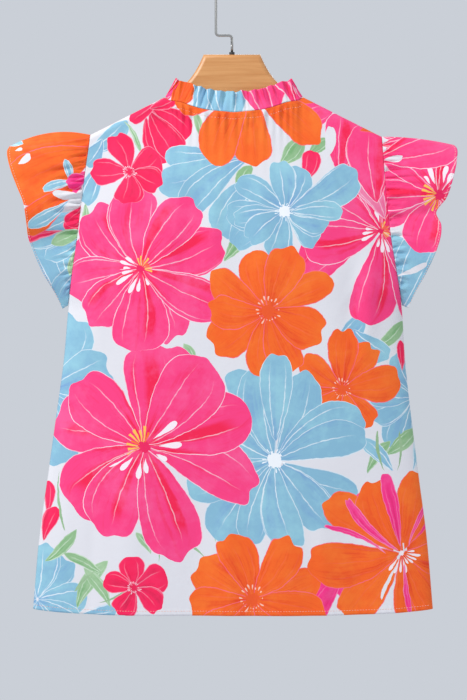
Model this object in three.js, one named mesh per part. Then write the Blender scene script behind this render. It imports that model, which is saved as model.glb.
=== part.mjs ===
// A short-sleeved floral blouse with a gathered stand-up neck frill and flutter sleeves, hanging
// on a flat wooden hanger with a wire hook. The blouse is seen from its back: its back panel faces
// -Y, its front panel +Y, the wearer's left is -X, and +Z is up.
// The origin is the inside of the hook's top, where the rail carries it. Sizes are in millimetres.
// Every cloth piece is one wall with an outside and an inside, worked out from rows of points.
import * as THREE from "three";

// Cloth and seams
const CLOTH = 1.2;
const FRILL_CLOTH = 1;
const SEAM_GAP = 0.3;
const HEM_DEPTH = 7;
const HEM_EXTRA = 0.5;

// Shoulders: the fold over the hanger, which falls away to both sides of the neck
const SHOULDER_TOP = -148.6;
const SHOULDER_SLOPE = 0.505;
const SHOULDER_CENTRE = 2.5;
const FOLD_RADIUS = 8.5;
const FALL_TO_BODY = 120;

// Neckline: half its width, and each half from the shoulder point (0 degrees) round to the middle
// (90 degrees), as how far it stands off the middle plane and how far it drops
const NECK_HALF = 89.6;
const NECK_BACK = [
  { degrees: 0, depth: 3.05, drop: 0.5 },
  { degrees: 9, depth: 6, drop: 1.9 },
  { degrees: 20, depth: 9.6, drop: 5.2 },
  { degrees: 40, depth: 13.6, drop: 8.2 },
  { degrees: 52, depth: 16.2, drop: 13.2 },
  { degrees: 66, depth: 18.6, drop: 18.4 },
  { degrees: 90, depth: 20, drop: 22.2 },
];
const NECK_FRONT = [
  { degrees: 0, depth: -2.75, drop: 0.5 },
  { degrees: 8, depth: 3, drop: -0.1 },
  { degrees: 15, depth: 7.6, drop: 3 },
  { degrees: 23, depth: 11.5, drop: 10 },
  { degrees: 36, depth: 17, drop: 26 },
  { degrees: 52, depth: 22, drop: 47 },
  { degrees: 70, depth: 25, drop: 66 },
  { degrees: 90, depth: 26, drop: 74 },
];
const NECK_BAND = 9;

// Levels of the underarm and the hem
const UNDERARM = -418.6;
const HEM = -819;
const HEM_SIDE_RISE = 6;
// How far down a panel its hem's step in thickness takes, as a share of its lower half
const HEM_STEP = 0.004;

// The body's half width, its middle and how far each panel stands off, from the shoulders down
const BODY = [
  { z: -148, half: 189, middle: 5.0, back: 20, front: 25 },
  { z: -200, half: 189, middle: 5.2, back: 22, front: 26 },
  { z: -240, half: 193, middle: 4.0, back: 24, front: 28 },
  { z: -281, half: 197, middle: 3.0, back: 25, front: 30 },
  { z: -330, half: 202.5, middle: 2.8, back: 27, front: 31 },
  { z: -375, half: 209.5, middle: 3.2, back: 28, front: 31 },
  { z: -419, half: 216, middle: 4.0, back: 28, front: 31 },
  { z: -490, half: 221.5, middle: 3.2, back: 27, front: 30 },
  { z: -560, half: 230, middle: 2.2, back: 26, front: 29 },
  { z: -646, half: 241.5, middle: 1.6, back: 25, front: 27 },
  { z: -720, half: 251.5, middle: 1.3, back: 24, front: 26 },
  { z: -819, half: 260, middle: 1.3, back: 23, front: 25 },
];

// How far each edge of an armhole stands off the middle plane, up from the underarm
const ARMHOLE_HALF_DEPTH = 13;
const ARMHOLE_CLOSING = 24;

// How squarely a panel turns towards its side edges, below the underarm and, over a distance, above it
const SIDE_POWER = 3;
const SIDE_SQUARENESS = 0.5;
const SIDE_SQUARENESS_ABOVE = 0.4;
const SIDE_CHANGE = 120;

// Soft upright folds of the two panels: from one point to another, how wide, and how far out
const FOLDS = [
  { face: "back", fromX: -62, fromZ: -205, toX: -98, toZ: -430, width: 20, out: 2.4 },
  { face: "back", fromX: -18, fromZ: -210, toX: -30, toZ: -395, width: 15, out: 1.8 },
  { face: "back", fromX: 34, fromZ: -212, toX: 44, toZ: -470, width: 18, out: 2.2 },
  { face: "back", fromX: 88, fromZ: -215, toX: 128, toZ: -420, width: 20, out: 2.0 },
  { face: "back", fromX: 186, fromZ: -300, toX: 168, toZ: -520, width: 13, out: 5.0 },
  { face: "back", fromX: 160, fromZ: -330, toX: 148, toZ: -500, width: 15, out: -3.2 },
  { face: "back", fromX: -178, fromZ: -330, toX: -176, toZ: -520, width: 15, out: 3.2 },
  { face: "back", fromX: -120, fromZ: -560, toX: -138, toZ: -825, width: 26, out: 3.0 },
  { face: "back", fromX: -40, fromZ: -600, toX: -48, toZ: -825, width: 24, out: -2.4 },
  { face: "back", fromX: 62, fromZ: -590, toX: 70, toZ: -825, width: 28, out: 2.6 },
  { face: "back", fromX: 150, fromZ: -610, toX: 166, toZ: -825, width: 22, out: -2.6 },
  { face: "front", fromX: -70, fromZ: -240, toX: -104, toZ: -460, width: 20, out: 2.4 },
  { face: "front", fromX: -14, fromZ: -245, toX: -20, toZ: -450, width: 17, out: 2.0 },
  { face: "front", fromX: 48, fromZ: -240, toX: 66, toZ: -480, width: 20, out: 2.4 },
  { face: "front", fromX: 176, fromZ: -310, toX: 164, toZ: -520, width: 15, out: 3.8 },
  { face: "front", fromX: -180, fromZ: -320, toX: -170, toZ: -530, width: 15, out: 3.4 },
  { face: "front", fromX: -110, fromZ: -570, toX: -128, toZ: -825, width: 26, out: 3.0 },
  { face: "front", fromX: 10, fromZ: -600, toX: 12, toZ: -825, width: 28, out: -2.6 },
  { face: "front", fromX: 112, fromZ: -590, toX: 130, toZ: -825, width: 24, out: 2.8 },
];

// Small gathers that run down from the neck band
const NECK_GATHERS = 22;
const NECK_GATHER_OUT = 0.9;
const NECK_GATHER_FADE = 22;
const NECK_GATHER_ENDS = 1.6;

// Neck frill
const FRILL_HEIGHT = 27.5;
const FRILL_UPRIGHT = 0.83;
const FRILL_LEAN_SIDE = 0.56;
const FRILL_LEAN_BACK = 0.13;
const FRILL_LEAN_FRONT = 0.3;
const FRILL_WAVES_BACK = 17;
const FRILL_WAVES_FRONT = 21;
const FRILL_WAVE = 2.8;
const FRILL_LIFT_ON_FOLD = 0.75;
const FRILL_LIFT_ON_SLOPE = 0.4;
const FRILL_STEP = 2e-3;

// Flutter sleeves: the free edge of one half, from the underarm (0) up to the shoulder (1).
// out is how far the edge stands off the middle plane, and bump lifts the middle of the cloth.
const SLEEVE_LEFT = [
  { up: 0.0, x: -220, z: -423, out: 2, bump: 0 },
  { up: 0.08, x: -230, z: -402, out: 9, bump: 0 },
  { up: 0.2, x: -246, z: -374, out: 15, bump: 0 },
  { up: 0.33, x: -258, z: -346, out: 13, bump: -2 },
  { up: 0.4, x: -263, z: -331, out: 16, bump: -1 },
  { up: 0.47, x: -264, z: -317, out: 25, bump: 2 },
  { up: 0.6, x: -268, z: -288, out: 26, bump: 4 },
  { up: 0.72, x: -278, z: -264, out: 22, bump: 4 },
  { up: 0.86, x: -288, z: -236, out: 17, bump: 4 },
  { up: 0.95, x: -291, z: -220, out: 10, bump: 6 },
  { up: 1.0, x: -289, z: -212.5, out: 0, bump: 10 },
];
const SLEEVE_RIGHT = [
  { up: 0.0, x: 229, z: -422, out: 2, bump: 0 },
  { up: 0.08, x: 238, z: -401, out: 9, bump: 0 },
  { up: 0.2, x: 252, z: -375, out: 16, bump: 0 },
  { up: 0.36, x: 267, z: -338, out: 22, bump: 1 },
  { up: 0.45, x: 270, z: -316, out: 18, bump: 0 },
  { up: 0.52, x: 264, z: -299, out: 12, bump: -1 },
  { up: 0.61, x: 277, z: -280, out: 20, bump: 2 },
  { up: 0.74, x: 286, z: -250, out: 23, bump: 3 },
  { up: 0.88, x: 291, z: -226, out: 17, bump: 3 },
  { up: 0.96, x: 291, z: -216, out: 9, bump: 3 },
  { up: 1.0, x: 289, z: -211, out: 0, bump: 3 },
];
const SLEEVE_GATHERS = 11;
const SLEEVE_GATHER_OUT = 1.3;
const SLEEVE_GATHER_START = 0.03;
const SLEEVE_GATHER_FADE = 0.22;
const SLEEVE_UNDERARM_EASE = 8;
const SLEEVE_CROWN_EASE = 10;
const SLEEVE_HEM_DEPTH = 5;
const SLEEVE_HEM_STEP = 0.012;
const SLEEVE_UNDERARM_GAP = 1;
const SLEEVE_UNDERARM_FADE = 26;

// Hanger
const WOOD_THICKNESS = 12;
const WOOD_ROUNDING = 5.5;
const WOOD_TOP = -93;
const WOOD_TOP_HALF = 36.8;
const WOOD_NECK_TURN = { x: 45, z: -112 };
const WOOD_NECK_FOOT = { x: 56, z: -137 };
const WOOD_NECK_OUT = 4;
const WOOD_ARM_END = 172;
const WOOD_ARM_HEIGHT = 25;
const WOOD_TIP = { out: 9, upper: 5, lower: 8, under: 4 };
const WOOD_UNDER_ARM = { x: 110, down: 34 };
const WOOD_ARCH = { half: 60, z: -164 };
const WOOD_UNDER_CLOTH = 1.25;
const NUT_RADIUS = 3.6;
const NUT_HEIGHT = 2.6;
const WIRE_RADIUS = 1.7;
const HOOK_RADIUS = 20.8;
const HOOK_JOG = -68.3;
const HOOK_BEND = 4;
const HOOK_TURNS = 12;
const HOOK_STEPS = 42;

// A value between 0 and 1 that starts and ends level
function eased(t) {
  const held = THREE.MathUtils.clamp(t, 0, 1);
  return held * held * (3 - 2 * held);
}

// Reads one column of a table at any place along its key, as a smooth curve through its rows
function read(rows, key, column, at) {
  const rising = rows[rows.length - 1][key] > rows[0][key];
  const along = (row) => (rising ? row[key] : -row[key]);
  const place = THREE.MathUtils.clamp(rising ? at : -at, along(rows[0]), along(rows[rows.length - 1]));
  let i = 0;
  while (i < rows.length - 2 && along(rows[i + 1]) < place) i += 1;
  const slope = (k) => {
    const before = rows[Math.max(k - 1, 0)];
    const after = rows[Math.min(k + 1, rows.length - 1)];
    return (after[column] - before[column]) / (along(after) - along(before));
  };
  const span = along(rows[i + 1]) - along(rows[i]);
  const t = (place - along(rows[i])) / span;
  const a = rows[i][column];
  const b = rows[i + 1][column];
  const rise = span * slope(i);
  const fall = span * slope(i + 1);
  const t2 = t * t;
  const t3 = t2 * t;
  return (2 * t3 - 3 * t2 + 1) * a + (t3 - 2 * t2 + t) * rise + (3 * t2 - 2 * t3) * b + (t3 - t2) * fall;
}

// Height of the shoulder fold at a place across
function shoulderFold(x) {
  return SHOULDER_TOP - SHOULDER_SLOPE * (Math.abs(x - SHOULDER_CENTRE) - NECK_HALF);
}

// Half depth of the armhole opening at a height; it closes at the underarm, where the side seam starts
function edgeDepth(z) {
  const above = Math.max(z - UNDERARM, 0);
  return SEAM_GAP * 0.75 + ARMHOLE_HALF_DEPTH * (1 - Math.exp(-above / ARMHOLE_CLOSING));
}

// A point of the neckline, by the angle from the shoulder point; side is -1 or 1
function neckPoint(face, side, degrees) {
  const rows = face === "back" ? NECK_BACK : NECK_FRONT;
  const sign = face === "back" ? -1 : 1;
  return new THREE.Vector3(
    SHOULDER_CENTRE + side * NECK_HALF * Math.cos(THREE.MathUtils.degToRad(degrees)),
    sign * read(rows, "degrees", "depth", degrees),
    SHOULDER_TOP - read(rows, "degrees", "drop", degrees),
  );
}

// Where a panel's top edge is, for a place across from -1 to 1: the shoulder seam or the neckline
function topEdge(face, across) {
  const x = BODY[0].middle + across * BODY[0].half;
  const inNeck = (x - SHOULDER_CENTRE) / NECK_HALF;
  if (Math.abs(inNeck) >= 1) {
    const seam = neckPoint(face, Math.sign(inNeck), 0);
    return { x, y: seam.y, z: seam.z + shoulderFold(x) - SHOULDER_TOP, round: 0 };
  }
  const degrees = THREE.MathUtils.radToDeg(Math.acos(Math.abs(inNeck)));
  const { y, z } = neckPoint(face, Math.sign(inNeck) || 1, degrees);
  return { x, y, z, round: Math.sqrt(1 - inNeck ** 2) };
}

// How far a panel stands off the middle plane, with its soft folds
function standOff(face, x, z) {
  const half = read(BODY, "z", "half", z);
  const t = Math.min(Math.abs((x - read(BODY, "z", "middle", z)) / half), 1);
  const squareness = SIDE_SQUARENESS + SIDE_SQUARENESS_ABOVE * eased((z - UNDERARM) / SIDE_CHANGE);
  const rounding = (1 - t ** SIDE_POWER) ** squareness;
  const edge = edgeDepth(z);
  let depth = edge + (read(BODY, "z", face, z) - edge) * rounding;
  for (const fold of FOLDS.filter((row) => row.face === face)) {
    const along = THREE.MathUtils.clamp((z - fold.fromZ) / (fold.toZ - fold.fromZ), 0, 1);
    const away = (x - (fold.fromX + (fold.toX - fold.fromX) * along)) / fold.width;
    const fade = fold.toZ < HEM ? eased(along * 2) : Math.sin(Math.PI * along) ** 2;
    depth += fold.out * fade * rounding * Math.exp(-away * away);
  }
  return depth;
}

// A point of a panel's middle surface. down runs 0 to 1 from the top edge to the underarm's level,
// and on to 2 at the hem. A column goes round the shoulder fold first, and then hangs.
function bodyPoint(face, across, down) {
  const top = topEdge(face, across);
  const sign = face === "back" ? -1 : 1;
  const start = THREE.MathUtils.clamp((sign * top.y) / FOLD_RADIUS, -1, 1);
  const startTurn = Math.asin(start);
  const foldCentre = top.z - FOLD_RADIUS * Math.cos(startTurn);
  const arc = FOLD_RADIUS * (Math.PI / 2 - startTurn);
  const hemZ = HEM + HEM_SIDE_RISE * Math.abs(across) ** 4;
  const upper = arc + foldCentre - UNDERARM;
  const run = down <= 1 ? down * upper : upper + (down - 1) * (UNDERARM - hemZ);
  let y;
  let z;
  if (run < arc) {
    const turn = startTurn + run / FOLD_RADIUS;
    y = sign * FOLD_RADIUS * Math.sin(turn);
    z = foldCentre + FOLD_RADIUS * Math.cos(turn);
  } else {
    z = foldCentre - (run - arc);
    const from = Math.max(FOLD_RADIUS, sign * top.y);
    const to = standOff(face, read(BODY, "z", "middle", z) + across * read(BODY, "z", "half", z), z);
    y = sign * (from + (to - from) * eased((run - arc) / FALL_TO_BODY));
  }
  if (top.round > 0) {
    const phase = NECK_GATHERS * Math.acos((top.x - SHOULDER_CENTRE) / NECK_HALF) * 2;
    const fade = eased(run / NECK_BAND) * Math.exp(-Math.max(run - NECK_BAND, 0) / NECK_GATHER_FADE);
    y += sign * NECK_GATHER_OUT * Math.cos(phase) * fade * eased(top.round * NECK_GATHER_ENDS);
  }
  return new THREE.Vector3(read(BODY, "z", "middle", z) + across * read(BODY, "z", "half", z), y, z);
}

// A point of a sleeve's middle surface. round goes 0 to 1 from the underarm up the back, over the
// shoulder and down the front; out goes 0 to 1 from the armhole to the free edge.
function sleevePoint(side, round, out) {
  const face = round <= 0.5 ? "back" : "front";
  const sign = face === "back" ? -1 : 1;
  const up = 1 - Math.abs(1 - 2 * round);
  const table = side < 0 ? SLEEVE_LEFT : SLEEVE_RIGHT;
  const seam = bodyPoint(face, side, 1 - up);
  const atUnderarm = Math.exp(-(seam.z - UNDERARM) / SLEEVE_UNDERARM_FADE);
  seam.x += side * (SEAM_GAP + CLOTH / 4 + SLEEVE_UNDERARM_GAP * atUnderarm);
  const edge = new THREE.Vector3(
    read(table, "up", "x", up),
    sign * read(table, "up", "out", up),
    read(table, "up", "z", up),
  );
  const point = seam.clone().lerp(edge, out);
  const arch = 4 * out * (1 - out);
  const bump = read(table, "up", "bump", up) * arch;
  const flat = eased((1 - up) * SLEEVE_UNDERARM_EASE);
  point.z += bump * (1 - flat);
  point.y += sign * bump * flat;
  const ends = eased(up * SLEEVE_UNDERARM_EASE) * eased((1 - up) * SLEEVE_CROWN_EASE);
  const fade = Math.exp(-out / SLEEVE_GATHER_FADE) * eased(out / SLEEVE_GATHER_START) * ends;
  point.y += sign * SLEEVE_GATHER_OUT * Math.cos(2 * Math.PI * SLEEVE_GATHERS * up) * fade;
  return point;
}

// A point of the neck frill's middle surface. round goes once round the neck from the wearer's right,
// first along the back and then along the front; high goes 0 to 1 from the seam to the free edge.
// The strip stands square to its seam, leaning in over the shoulders.
function frillPoint(round, high) {
  const face = round <= 0.5 ? "back" : "front";
  const around = (place) => {
    const side = Math.cos(2 * Math.PI * place) < 0 ? -1 : 1;
    const degrees = (place * 360) % 180;
    return neckPoint(place <= 0.5 ? "back" : "front", side, Math.min(degrees, 180 - degrees));
  };
  const seam = around(round);
  const along = around((round + FRILL_STEP) % 1).sub(around((round + 1 - FRILL_STEP) % 1)).normalize();
  const turn = 2 * Math.PI * round;
  const lean = face === "back" ? FRILL_LEAN_BACK : FRILL_LEAN_FRONT;
  const rise = new THREE.Vector3(-Math.cos(turn) * FRILL_LEAN_SIDE, lean * Math.sin(turn) ** 2, FRILL_UPRIGHT);
  rise.addScaledVector(along, -rise.dot(along)).normalize();
  const outwards = along.clone().cross(rise).normalize();
  const onTop = Math.sqrt(Math.max(1 - (seam.y / FOLD_RADIUS) ** 2, 0));
  const share = face === "back" ? round * 2 : round * 2 - 1;
  const waves = face === "back" ? FRILL_WAVES_BACK : FRILL_WAVES_FRONT;
  const wave = Math.sin(2 * Math.PI * share * waves) * FRILL_WAVE * high;
  const lift = CLOTH * (FRILL_LIFT_ON_FOLD * onTop + FRILL_LIFT_ON_SLOPE * Math.abs(along.z));
  return seam.addScaledVector(rise, SEAM_GAP + lift + FRILL_HEIGHT * high).addScaledVector(outwards, wave);
}

// Joins two rows of a wall's one face, which need not have as many points as each other
function joinRows(upper, lower, faces, flipped) {
  let i = 0;
  let j = 0;
  while (i < upper.length - 1 || j < lower.length - 1) {
    const fromUpper =
      j === lower.length - 1 || (i < upper.length - 1 && upper[i + 1].across <= lower[j + 1].across);
    const third = fromUpper ? upper[i + 1] : lower[j + 1];
    const [a, b, c] = [upper[i].index, lower[j].index, third.index];
    faces.push(...(flipped ? [a, c, b] : [a, b, c]));
    if (fromUpper) i += 1;
    else j += 1;
  }
}

// A closed wall from a middle surface: rows of points on both of its faces, joined, with its rims.
// Each row has its place down and its places across; a closed wall's rows run once round.
function wall(surface, rows, thicknessAt, closed) {
  const points = [];
  const step = 1e-3;
  const normalAt = (across, down, low, high) => {
    const [before, after] = closed
      ? [across - step, across + step].map((a) => (a + 1) % 1)
      : [Math.max(across - step, -1), Math.min(across + step, 1)];
    const sideways = surface(after, down).sub(surface(before, down));
    const below = surface(across, Math.min(down + step, high));
    const above = surface(across, Math.max(down - step, low));
    return sideways.cross(below.sub(above)).normalize();
  };
  const low = rows[0].down;
  const high = rows[rows.length - 1].down;
  const sides = [1, -1].map((sign) =>
    rows.map(({ down, places }) => {
      const row = places.map((across) => {
        const half = thicknessAt(across, down) / 2;
        const out = normalAt(across, down, low, high);
        points.push(surface(across, down).addScaledVector(out, sign * half));
        return { across, index: points.length - 1 };
      });
      return closed ? [...row, { across: 1 + row[0].across, index: row[0].index }] : row;
    }),
  );
  const faces = [];
  const [outer, inner] = sides;
  for (let r = 0; r < rows.length - 1; r += 1) {
    joinRows(outer[r], outer[r + 1], faces, true);
    joinRows(inner[r], inner[r + 1], faces, false);
  }
  const quad = (...corners) => {
    const [a, b, c, d] = corners.map((corner) => corner.index);
    faces.push(a, b, c, a, c, d);
  };
  const last = rows.length - 1;
  for (let i = 0; i < outer[0].length - 1; i += 1) {
    quad(outer[0][i + 1], outer[0][i], inner[0][i], inner[0][i + 1]);
  }
  for (let i = 0; i < outer[last].length - 1; i += 1) {
    quad(outer[last][i], outer[last][i + 1], inner[last][i + 1], inner[last][i]);
  }
  for (let r = 0; r < rows.length - 1 && !closed; r += 1) {
    quad(outer[r][0], outer[r + 1][0], inner[r + 1][0], inner[r][0]);
    quad(outer[r + 1].at(-1), outer[r].at(-1), inner[r].at(-1), inner[r + 1].at(-1));
  }
  const geometry = new THREE.BufferGeometry();
  geometry.setFromPoints(points);
  geometry.setIndex(faces);
  geometry.computeVertexNormals();
  return geometry;
}

// Rows down a panel: its gathered top, on to the underarm, and below it to the hem
const HANGING_COLUMNS_A_SIDE = 13;
const GATHERED_ROWS = [0, 0.014, 0.03, 0.048, 0.068, 0.1, 0.15];
const HANGING_ROWS = [0.22, 0.32, 0.43, 0.54, 0.65, 0.75, 0.84, 0.91, 0.96, 1];
const LOWER_ROWS = [1.04, 1.12, 1.24, 1.38, 1.53, 1.68, 1.83];
const SLEEVE_ROWS = [0.07, 0.18, 0.36, 0.6, 0.8];
const POINTS_A_SLEEVE_GATHER = 6;
const POINTS_A_FRILL_WAVE = 4;

// Places across a panel's gathered top, with two for each neck gather, and across its hanging part
function gatheredColumns() {
  const toAcross = (x) => (x - BODY[0].middle) / BODY[0].half;
  const steps = NECK_GATHERS * 2;
  const turns = Array.from({ length: steps + 1 }, (_, i) => (Math.PI * i) / steps);
  const neck = turns.map((turn) => toAcross(SHOULDER_CENTRE - NECK_HALF * Math.cos(turn)));
  const shoulder = [0, 0.03, 0.1, 0.25, 0.45, 0.65, 0.82, 0.94];
  const left = shoulder.map((t) => -1 + (neck[0] + 1) * t);
  const right = shoulder.map((t) => 1 - (1 - neck[neck.length - 1]) * t).reverse();
  return [...left, ...neck, ...right];
}

function hangingColumns() {
  const count = 2 * HANGING_COLUMNS_A_SIDE + 1;
  return Array.from({ length: count }, (_, i) => Math.sin((Math.PI / 2) * (i / HANGING_COLUMNS_A_SIDE - 1)));
}


function panel(face) {
  const gathered = gatheredColumns();
  const hanging = hangingColumns();
  const bandTop = 2 - HEM_DEPTH / (UNDERARM - HEM);
  const below = [...LOWER_ROWS, bandTop - HEM_STEP, bandTop, 2];
  const rows = [
    ...GATHERED_ROWS.map((down) => ({ down, places: gathered })),
    ...[...HANGING_ROWS, ...below].map((down) => ({ down, places: hanging })),
  ];
  const thickness = (across, down) => CLOTH + (down >= bandTop ? HEM_EXTRA : 0);
  return wall((across, down) => bodyPoint(face, across, down), rows, thickness, false);
}

// The row at the armhole has a point for every row of the panels' own edges
function sleeve(side) {
  const edgeRows = [...GATHERED_ROWS, ...HANGING_ROWS];
  const upTheBack = edgeRows.map((down) => (1 - down) / 2).reverse();
  const downTheFront = edgeRows.slice(1, -1).map((down) => (1 + down) / 2);
  const count = SLEEVE_GATHERS * POINTS_A_SLEEVE_GATHER;
  const places = Array.from({ length: count }, (_, i) => i / count);
  const width = Math.abs(SLEEVE_LEFT[SLEEVE_LEFT.length - 1].x) - BODY[0].half;
  const hemStart = 1 - SLEEVE_HEM_DEPTH / width;
  const rows = [
    { down: 0, places: [...upTheBack, ...downTheFront] },
    ...[...SLEEVE_ROWS, hemStart - SLEEVE_HEM_STEP, hemStart, 1].map((down) => ({ down, places })),
  ];
  const thickness = (round, out) => CLOTH + (out >= hemStart ? HEM_EXTRA : 0);
  return wall((round, out) => sleevePoint(side, round, out), rows, thickness, true);
}

// The row at the neck has a point for every column of the panels' own edges
function neckFrill() {
  const half = (count) => Array.from({ length: count }, (_, i) => i / (count * 2));
  const bothHalves = (back, front) => [...half(back), ...half(front).map((place) => place + 0.5)];
  const waved = bothHalves(FRILL_WAVES_BACK * POINTS_A_FRILL_WAVE, FRILL_WAVES_FRONT * POINTS_A_FRILL_WAVE);
  const atSeam = bothHalves(NECK_GATHERS * 2, NECK_GATHERS * 2);
  const rows = [{ down: 0, places: atSeam }, { down: 0.5, places: waved }, { down: 1, places: waved }];
  return wall(frillPoint, rows, () => FRILL_CLOTH, true);
}

// Flat wooden hanger: a straight top, hollow shoulders, arms under the blouse's shoulder fold
function hangerWood() {
  const shape = new THREE.Shape();
  const arm = (side) => {
    const top = (x) => [side * x, shoulderFold(side * x) - WOOD_UNDER_CLOTH];
    const [tipX, tipTop] = top(WOOD_ARM_END);
    return {
      neckTurn: [side * WOOD_NECK_TURN.x, WOOD_NECK_TURN.z],
      neckFoot: [side * WOOD_NECK_FOOT.x, WOOD_NECK_FOOT.z],
      root: top(NECK_HALF + WOOD_NECK_OUT),
      tip: [tipX, tipTop],
      upperBulge: [tipX + side * WOOD_TIP.out, tipTop - WOOD_TIP.upper],
      lowerBulge: [tipX + side * WOOD_TIP.out, tipTop - WOOD_ARM_HEIGHT / 2 - WOOD_TIP.lower],
      underTip: [tipX - side * WOOD_TIP.under, tipTop - WOOD_ARM_HEIGHT],
      underArm: [side * WOOD_UNDER_ARM.x, top(WOOD_UNDER_ARM.x)[1] - WOOD_UNDER_ARM.down],
      arch: [side * WOOD_ARCH.half, WOOD_ARCH.z],
    };
  };
  const right = arm(1);
  const left = arm(-1);
  shape.moveTo(-WOOD_TOP_HALF, WOOD_TOP);
  shape.lineTo(WOOD_TOP_HALF, WOOD_TOP);
  shape.bezierCurveTo(...right.neckTurn, ...right.neckFoot, ...right.root);
  shape.lineTo(...right.tip);
  shape.bezierCurveTo(...right.upperBulge, ...right.lowerBulge, ...right.underTip);
  shape.bezierCurveTo(...right.underArm, ...right.arch, 0, WOOD_ARCH.z);
  shape.bezierCurveTo(...left.arch, ...left.underArm, ...left.underTip);
  shape.bezierCurveTo(...left.lowerBulge, ...left.upperBulge, ...left.tip);
  shape.lineTo(...left.root);
  shape.bezierCurveTo(...left.neckFoot, ...left.neckTurn, -WOOD_TOP_HALF, WOOD_TOP);
  const geometry = new THREE.ExtrudeGeometry(shape, {
    depth: WOOD_THICKNESS - 2 * WOOD_ROUNDING,
    bevelThickness: WOOD_ROUNDING,
    bevelSize: WOOD_ROUNDING,
    bevelOffset: -WOOD_ROUNDING,
    bevelSegments: 3,
    curveSegments: 8,
  });
  geometry.translate(0, 0, WOOD_ROUNDING - WOOD_THICKNESS / 2);
  return geometry;
}

// Round wire: up from the nut, a step to the wearer's left, straight up, and over the rail
class HookPath extends THREE.CurvePath {
  constructor() {
    super();
    const stemFoot = WOOD_TOP + 2 * SEAM_GAP + NUT_HEIGHT;
    const at = (x, z) => new THREE.Vector3(x, 0, z);
    const bend = (from, corner, to) => new THREE.QuadraticBezierCurve3(from, corner, to);
    const arcCentre = WIRE_RADIUS - HOOK_RADIUS;
    const left = -HOOK_RADIUS;
    this.add(new THREE.LineCurve3(at(0, stemFoot), at(0, HOOK_JOG - HOOK_BEND)));
    this.add(bend(at(0, HOOK_JOG - HOOK_BEND), at(0, HOOK_JOG), at(-HOOK_BEND, HOOK_JOG)));
    this.add(new THREE.LineCurve3(at(-HOOK_BEND, HOOK_JOG), at(left + HOOK_BEND, HOOK_JOG)));
    this.add(bend(at(left + HOOK_BEND, HOOK_JOG), at(left, HOOK_JOG), at(left, HOOK_JOG + HOOK_BEND)));
    this.add(new THREE.LineCurve3(at(left, HOOK_JOG + HOOK_BEND), at(left, arcCentre)));
    const onArc = (k) => {
      const turn = (Math.PI * k) / HOOK_TURNS;
      return at(-HOOK_RADIUS * Math.cos(turn), arcCentre + HOOK_RADIUS * Math.sin(turn));
    };
    for (let k = 0; k < HOOK_TURNS; k += 1) this.add(new THREE.LineCurve3(onArc(k), onArc(k + 1)));
  }
}

function hangerHook() {
  const section = new THREE.Shape();
  section.absarc(0, 0, WIRE_RADIUS, 0, 2 * Math.PI, false);
  return new THREE.ExtrudeGeometry(section, { steps: HOOK_STEPS, extrudePath: new HookPath(), curveSegments: 8 });
}

function material(name, colour, roughness, metalness) {
  return new THREE.MeshStandardMaterial({ name, color: colour, roughness, metalness, side: THREE.DoubleSide });
}

const printedCloth = material("printed cloth", 0xff5a95, 0.78, 0);
const wood = material("pale wood", 0xdca368, 0.5, 0);
const steel = material("bright steel", 0xb9b7b2, 0.28, 1);

const blouse = new THREE.Group();
function add(name, geometry, finish, parent) {
  const mesh = new THREE.Mesh(geometry, finish);
  mesh.name = name;
  parent.add(mesh);
  return mesh;
}

add("back_panel", panel("back"), printedCloth, blouse);
add("front_panel", panel("front"), printedCloth, blouse);
add("sleeve_left", sleeve(-1), printedCloth, blouse);
add("sleeve_right", sleeve(1), printedCloth, blouse);
add("neck_frill", neckFrill(), printedCloth, blouse);

const hanger = new THREE.Group();
blouse.add(hanger);
const woodMesh = add("hanger_wood", hangerWood(), wood, hanger);
woodMesh.rotation.x = Math.PI / 2;
const nut = add("hanger_nut", new THREE.CylinderGeometry(NUT_RADIUS, NUT_RADIUS, NUT_HEIGHT, 16), steel, hanger);
nut.rotation.x = Math.PI / 2;
nut.position.z = WOOD_TOP + SEAM_GAP + NUT_HEIGHT / 2;
add("hanger_hook", hangerHook(), steel, hanger);

export default blouse;
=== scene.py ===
"""A floral blouse with flutter sleeves and a gathered neck frill on a flat wooden hanger, seen from its back.

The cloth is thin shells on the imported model's forms, sewn from the same tables. Tables are in
millimetres, and the print's chart in squares of SQUARE millimetres. -X is the wearer's left, -Y the back.
"""

import math
import random
from collections import namedtuple

import bmesh
import bpy
from mathutils import Matrix, Vector, noise


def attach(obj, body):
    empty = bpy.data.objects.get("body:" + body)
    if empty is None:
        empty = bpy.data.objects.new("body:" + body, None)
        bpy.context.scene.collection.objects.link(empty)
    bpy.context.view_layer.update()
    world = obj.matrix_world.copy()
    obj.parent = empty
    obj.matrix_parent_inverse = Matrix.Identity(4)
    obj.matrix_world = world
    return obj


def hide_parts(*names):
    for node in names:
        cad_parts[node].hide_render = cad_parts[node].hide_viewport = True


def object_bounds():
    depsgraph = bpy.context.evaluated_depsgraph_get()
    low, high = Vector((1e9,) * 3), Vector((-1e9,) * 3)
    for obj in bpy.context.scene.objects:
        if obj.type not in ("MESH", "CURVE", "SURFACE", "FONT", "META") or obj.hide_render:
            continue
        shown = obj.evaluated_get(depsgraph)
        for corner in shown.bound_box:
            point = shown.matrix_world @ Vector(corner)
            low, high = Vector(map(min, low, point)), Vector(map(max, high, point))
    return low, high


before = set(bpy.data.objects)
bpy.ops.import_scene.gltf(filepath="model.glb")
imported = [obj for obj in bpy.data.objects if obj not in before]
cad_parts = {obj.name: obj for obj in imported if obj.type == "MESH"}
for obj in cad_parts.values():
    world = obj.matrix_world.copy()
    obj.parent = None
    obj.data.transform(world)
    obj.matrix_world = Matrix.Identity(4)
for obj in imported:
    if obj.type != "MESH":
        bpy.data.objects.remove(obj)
model_low, model_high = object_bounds()
MM = 0.001

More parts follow.
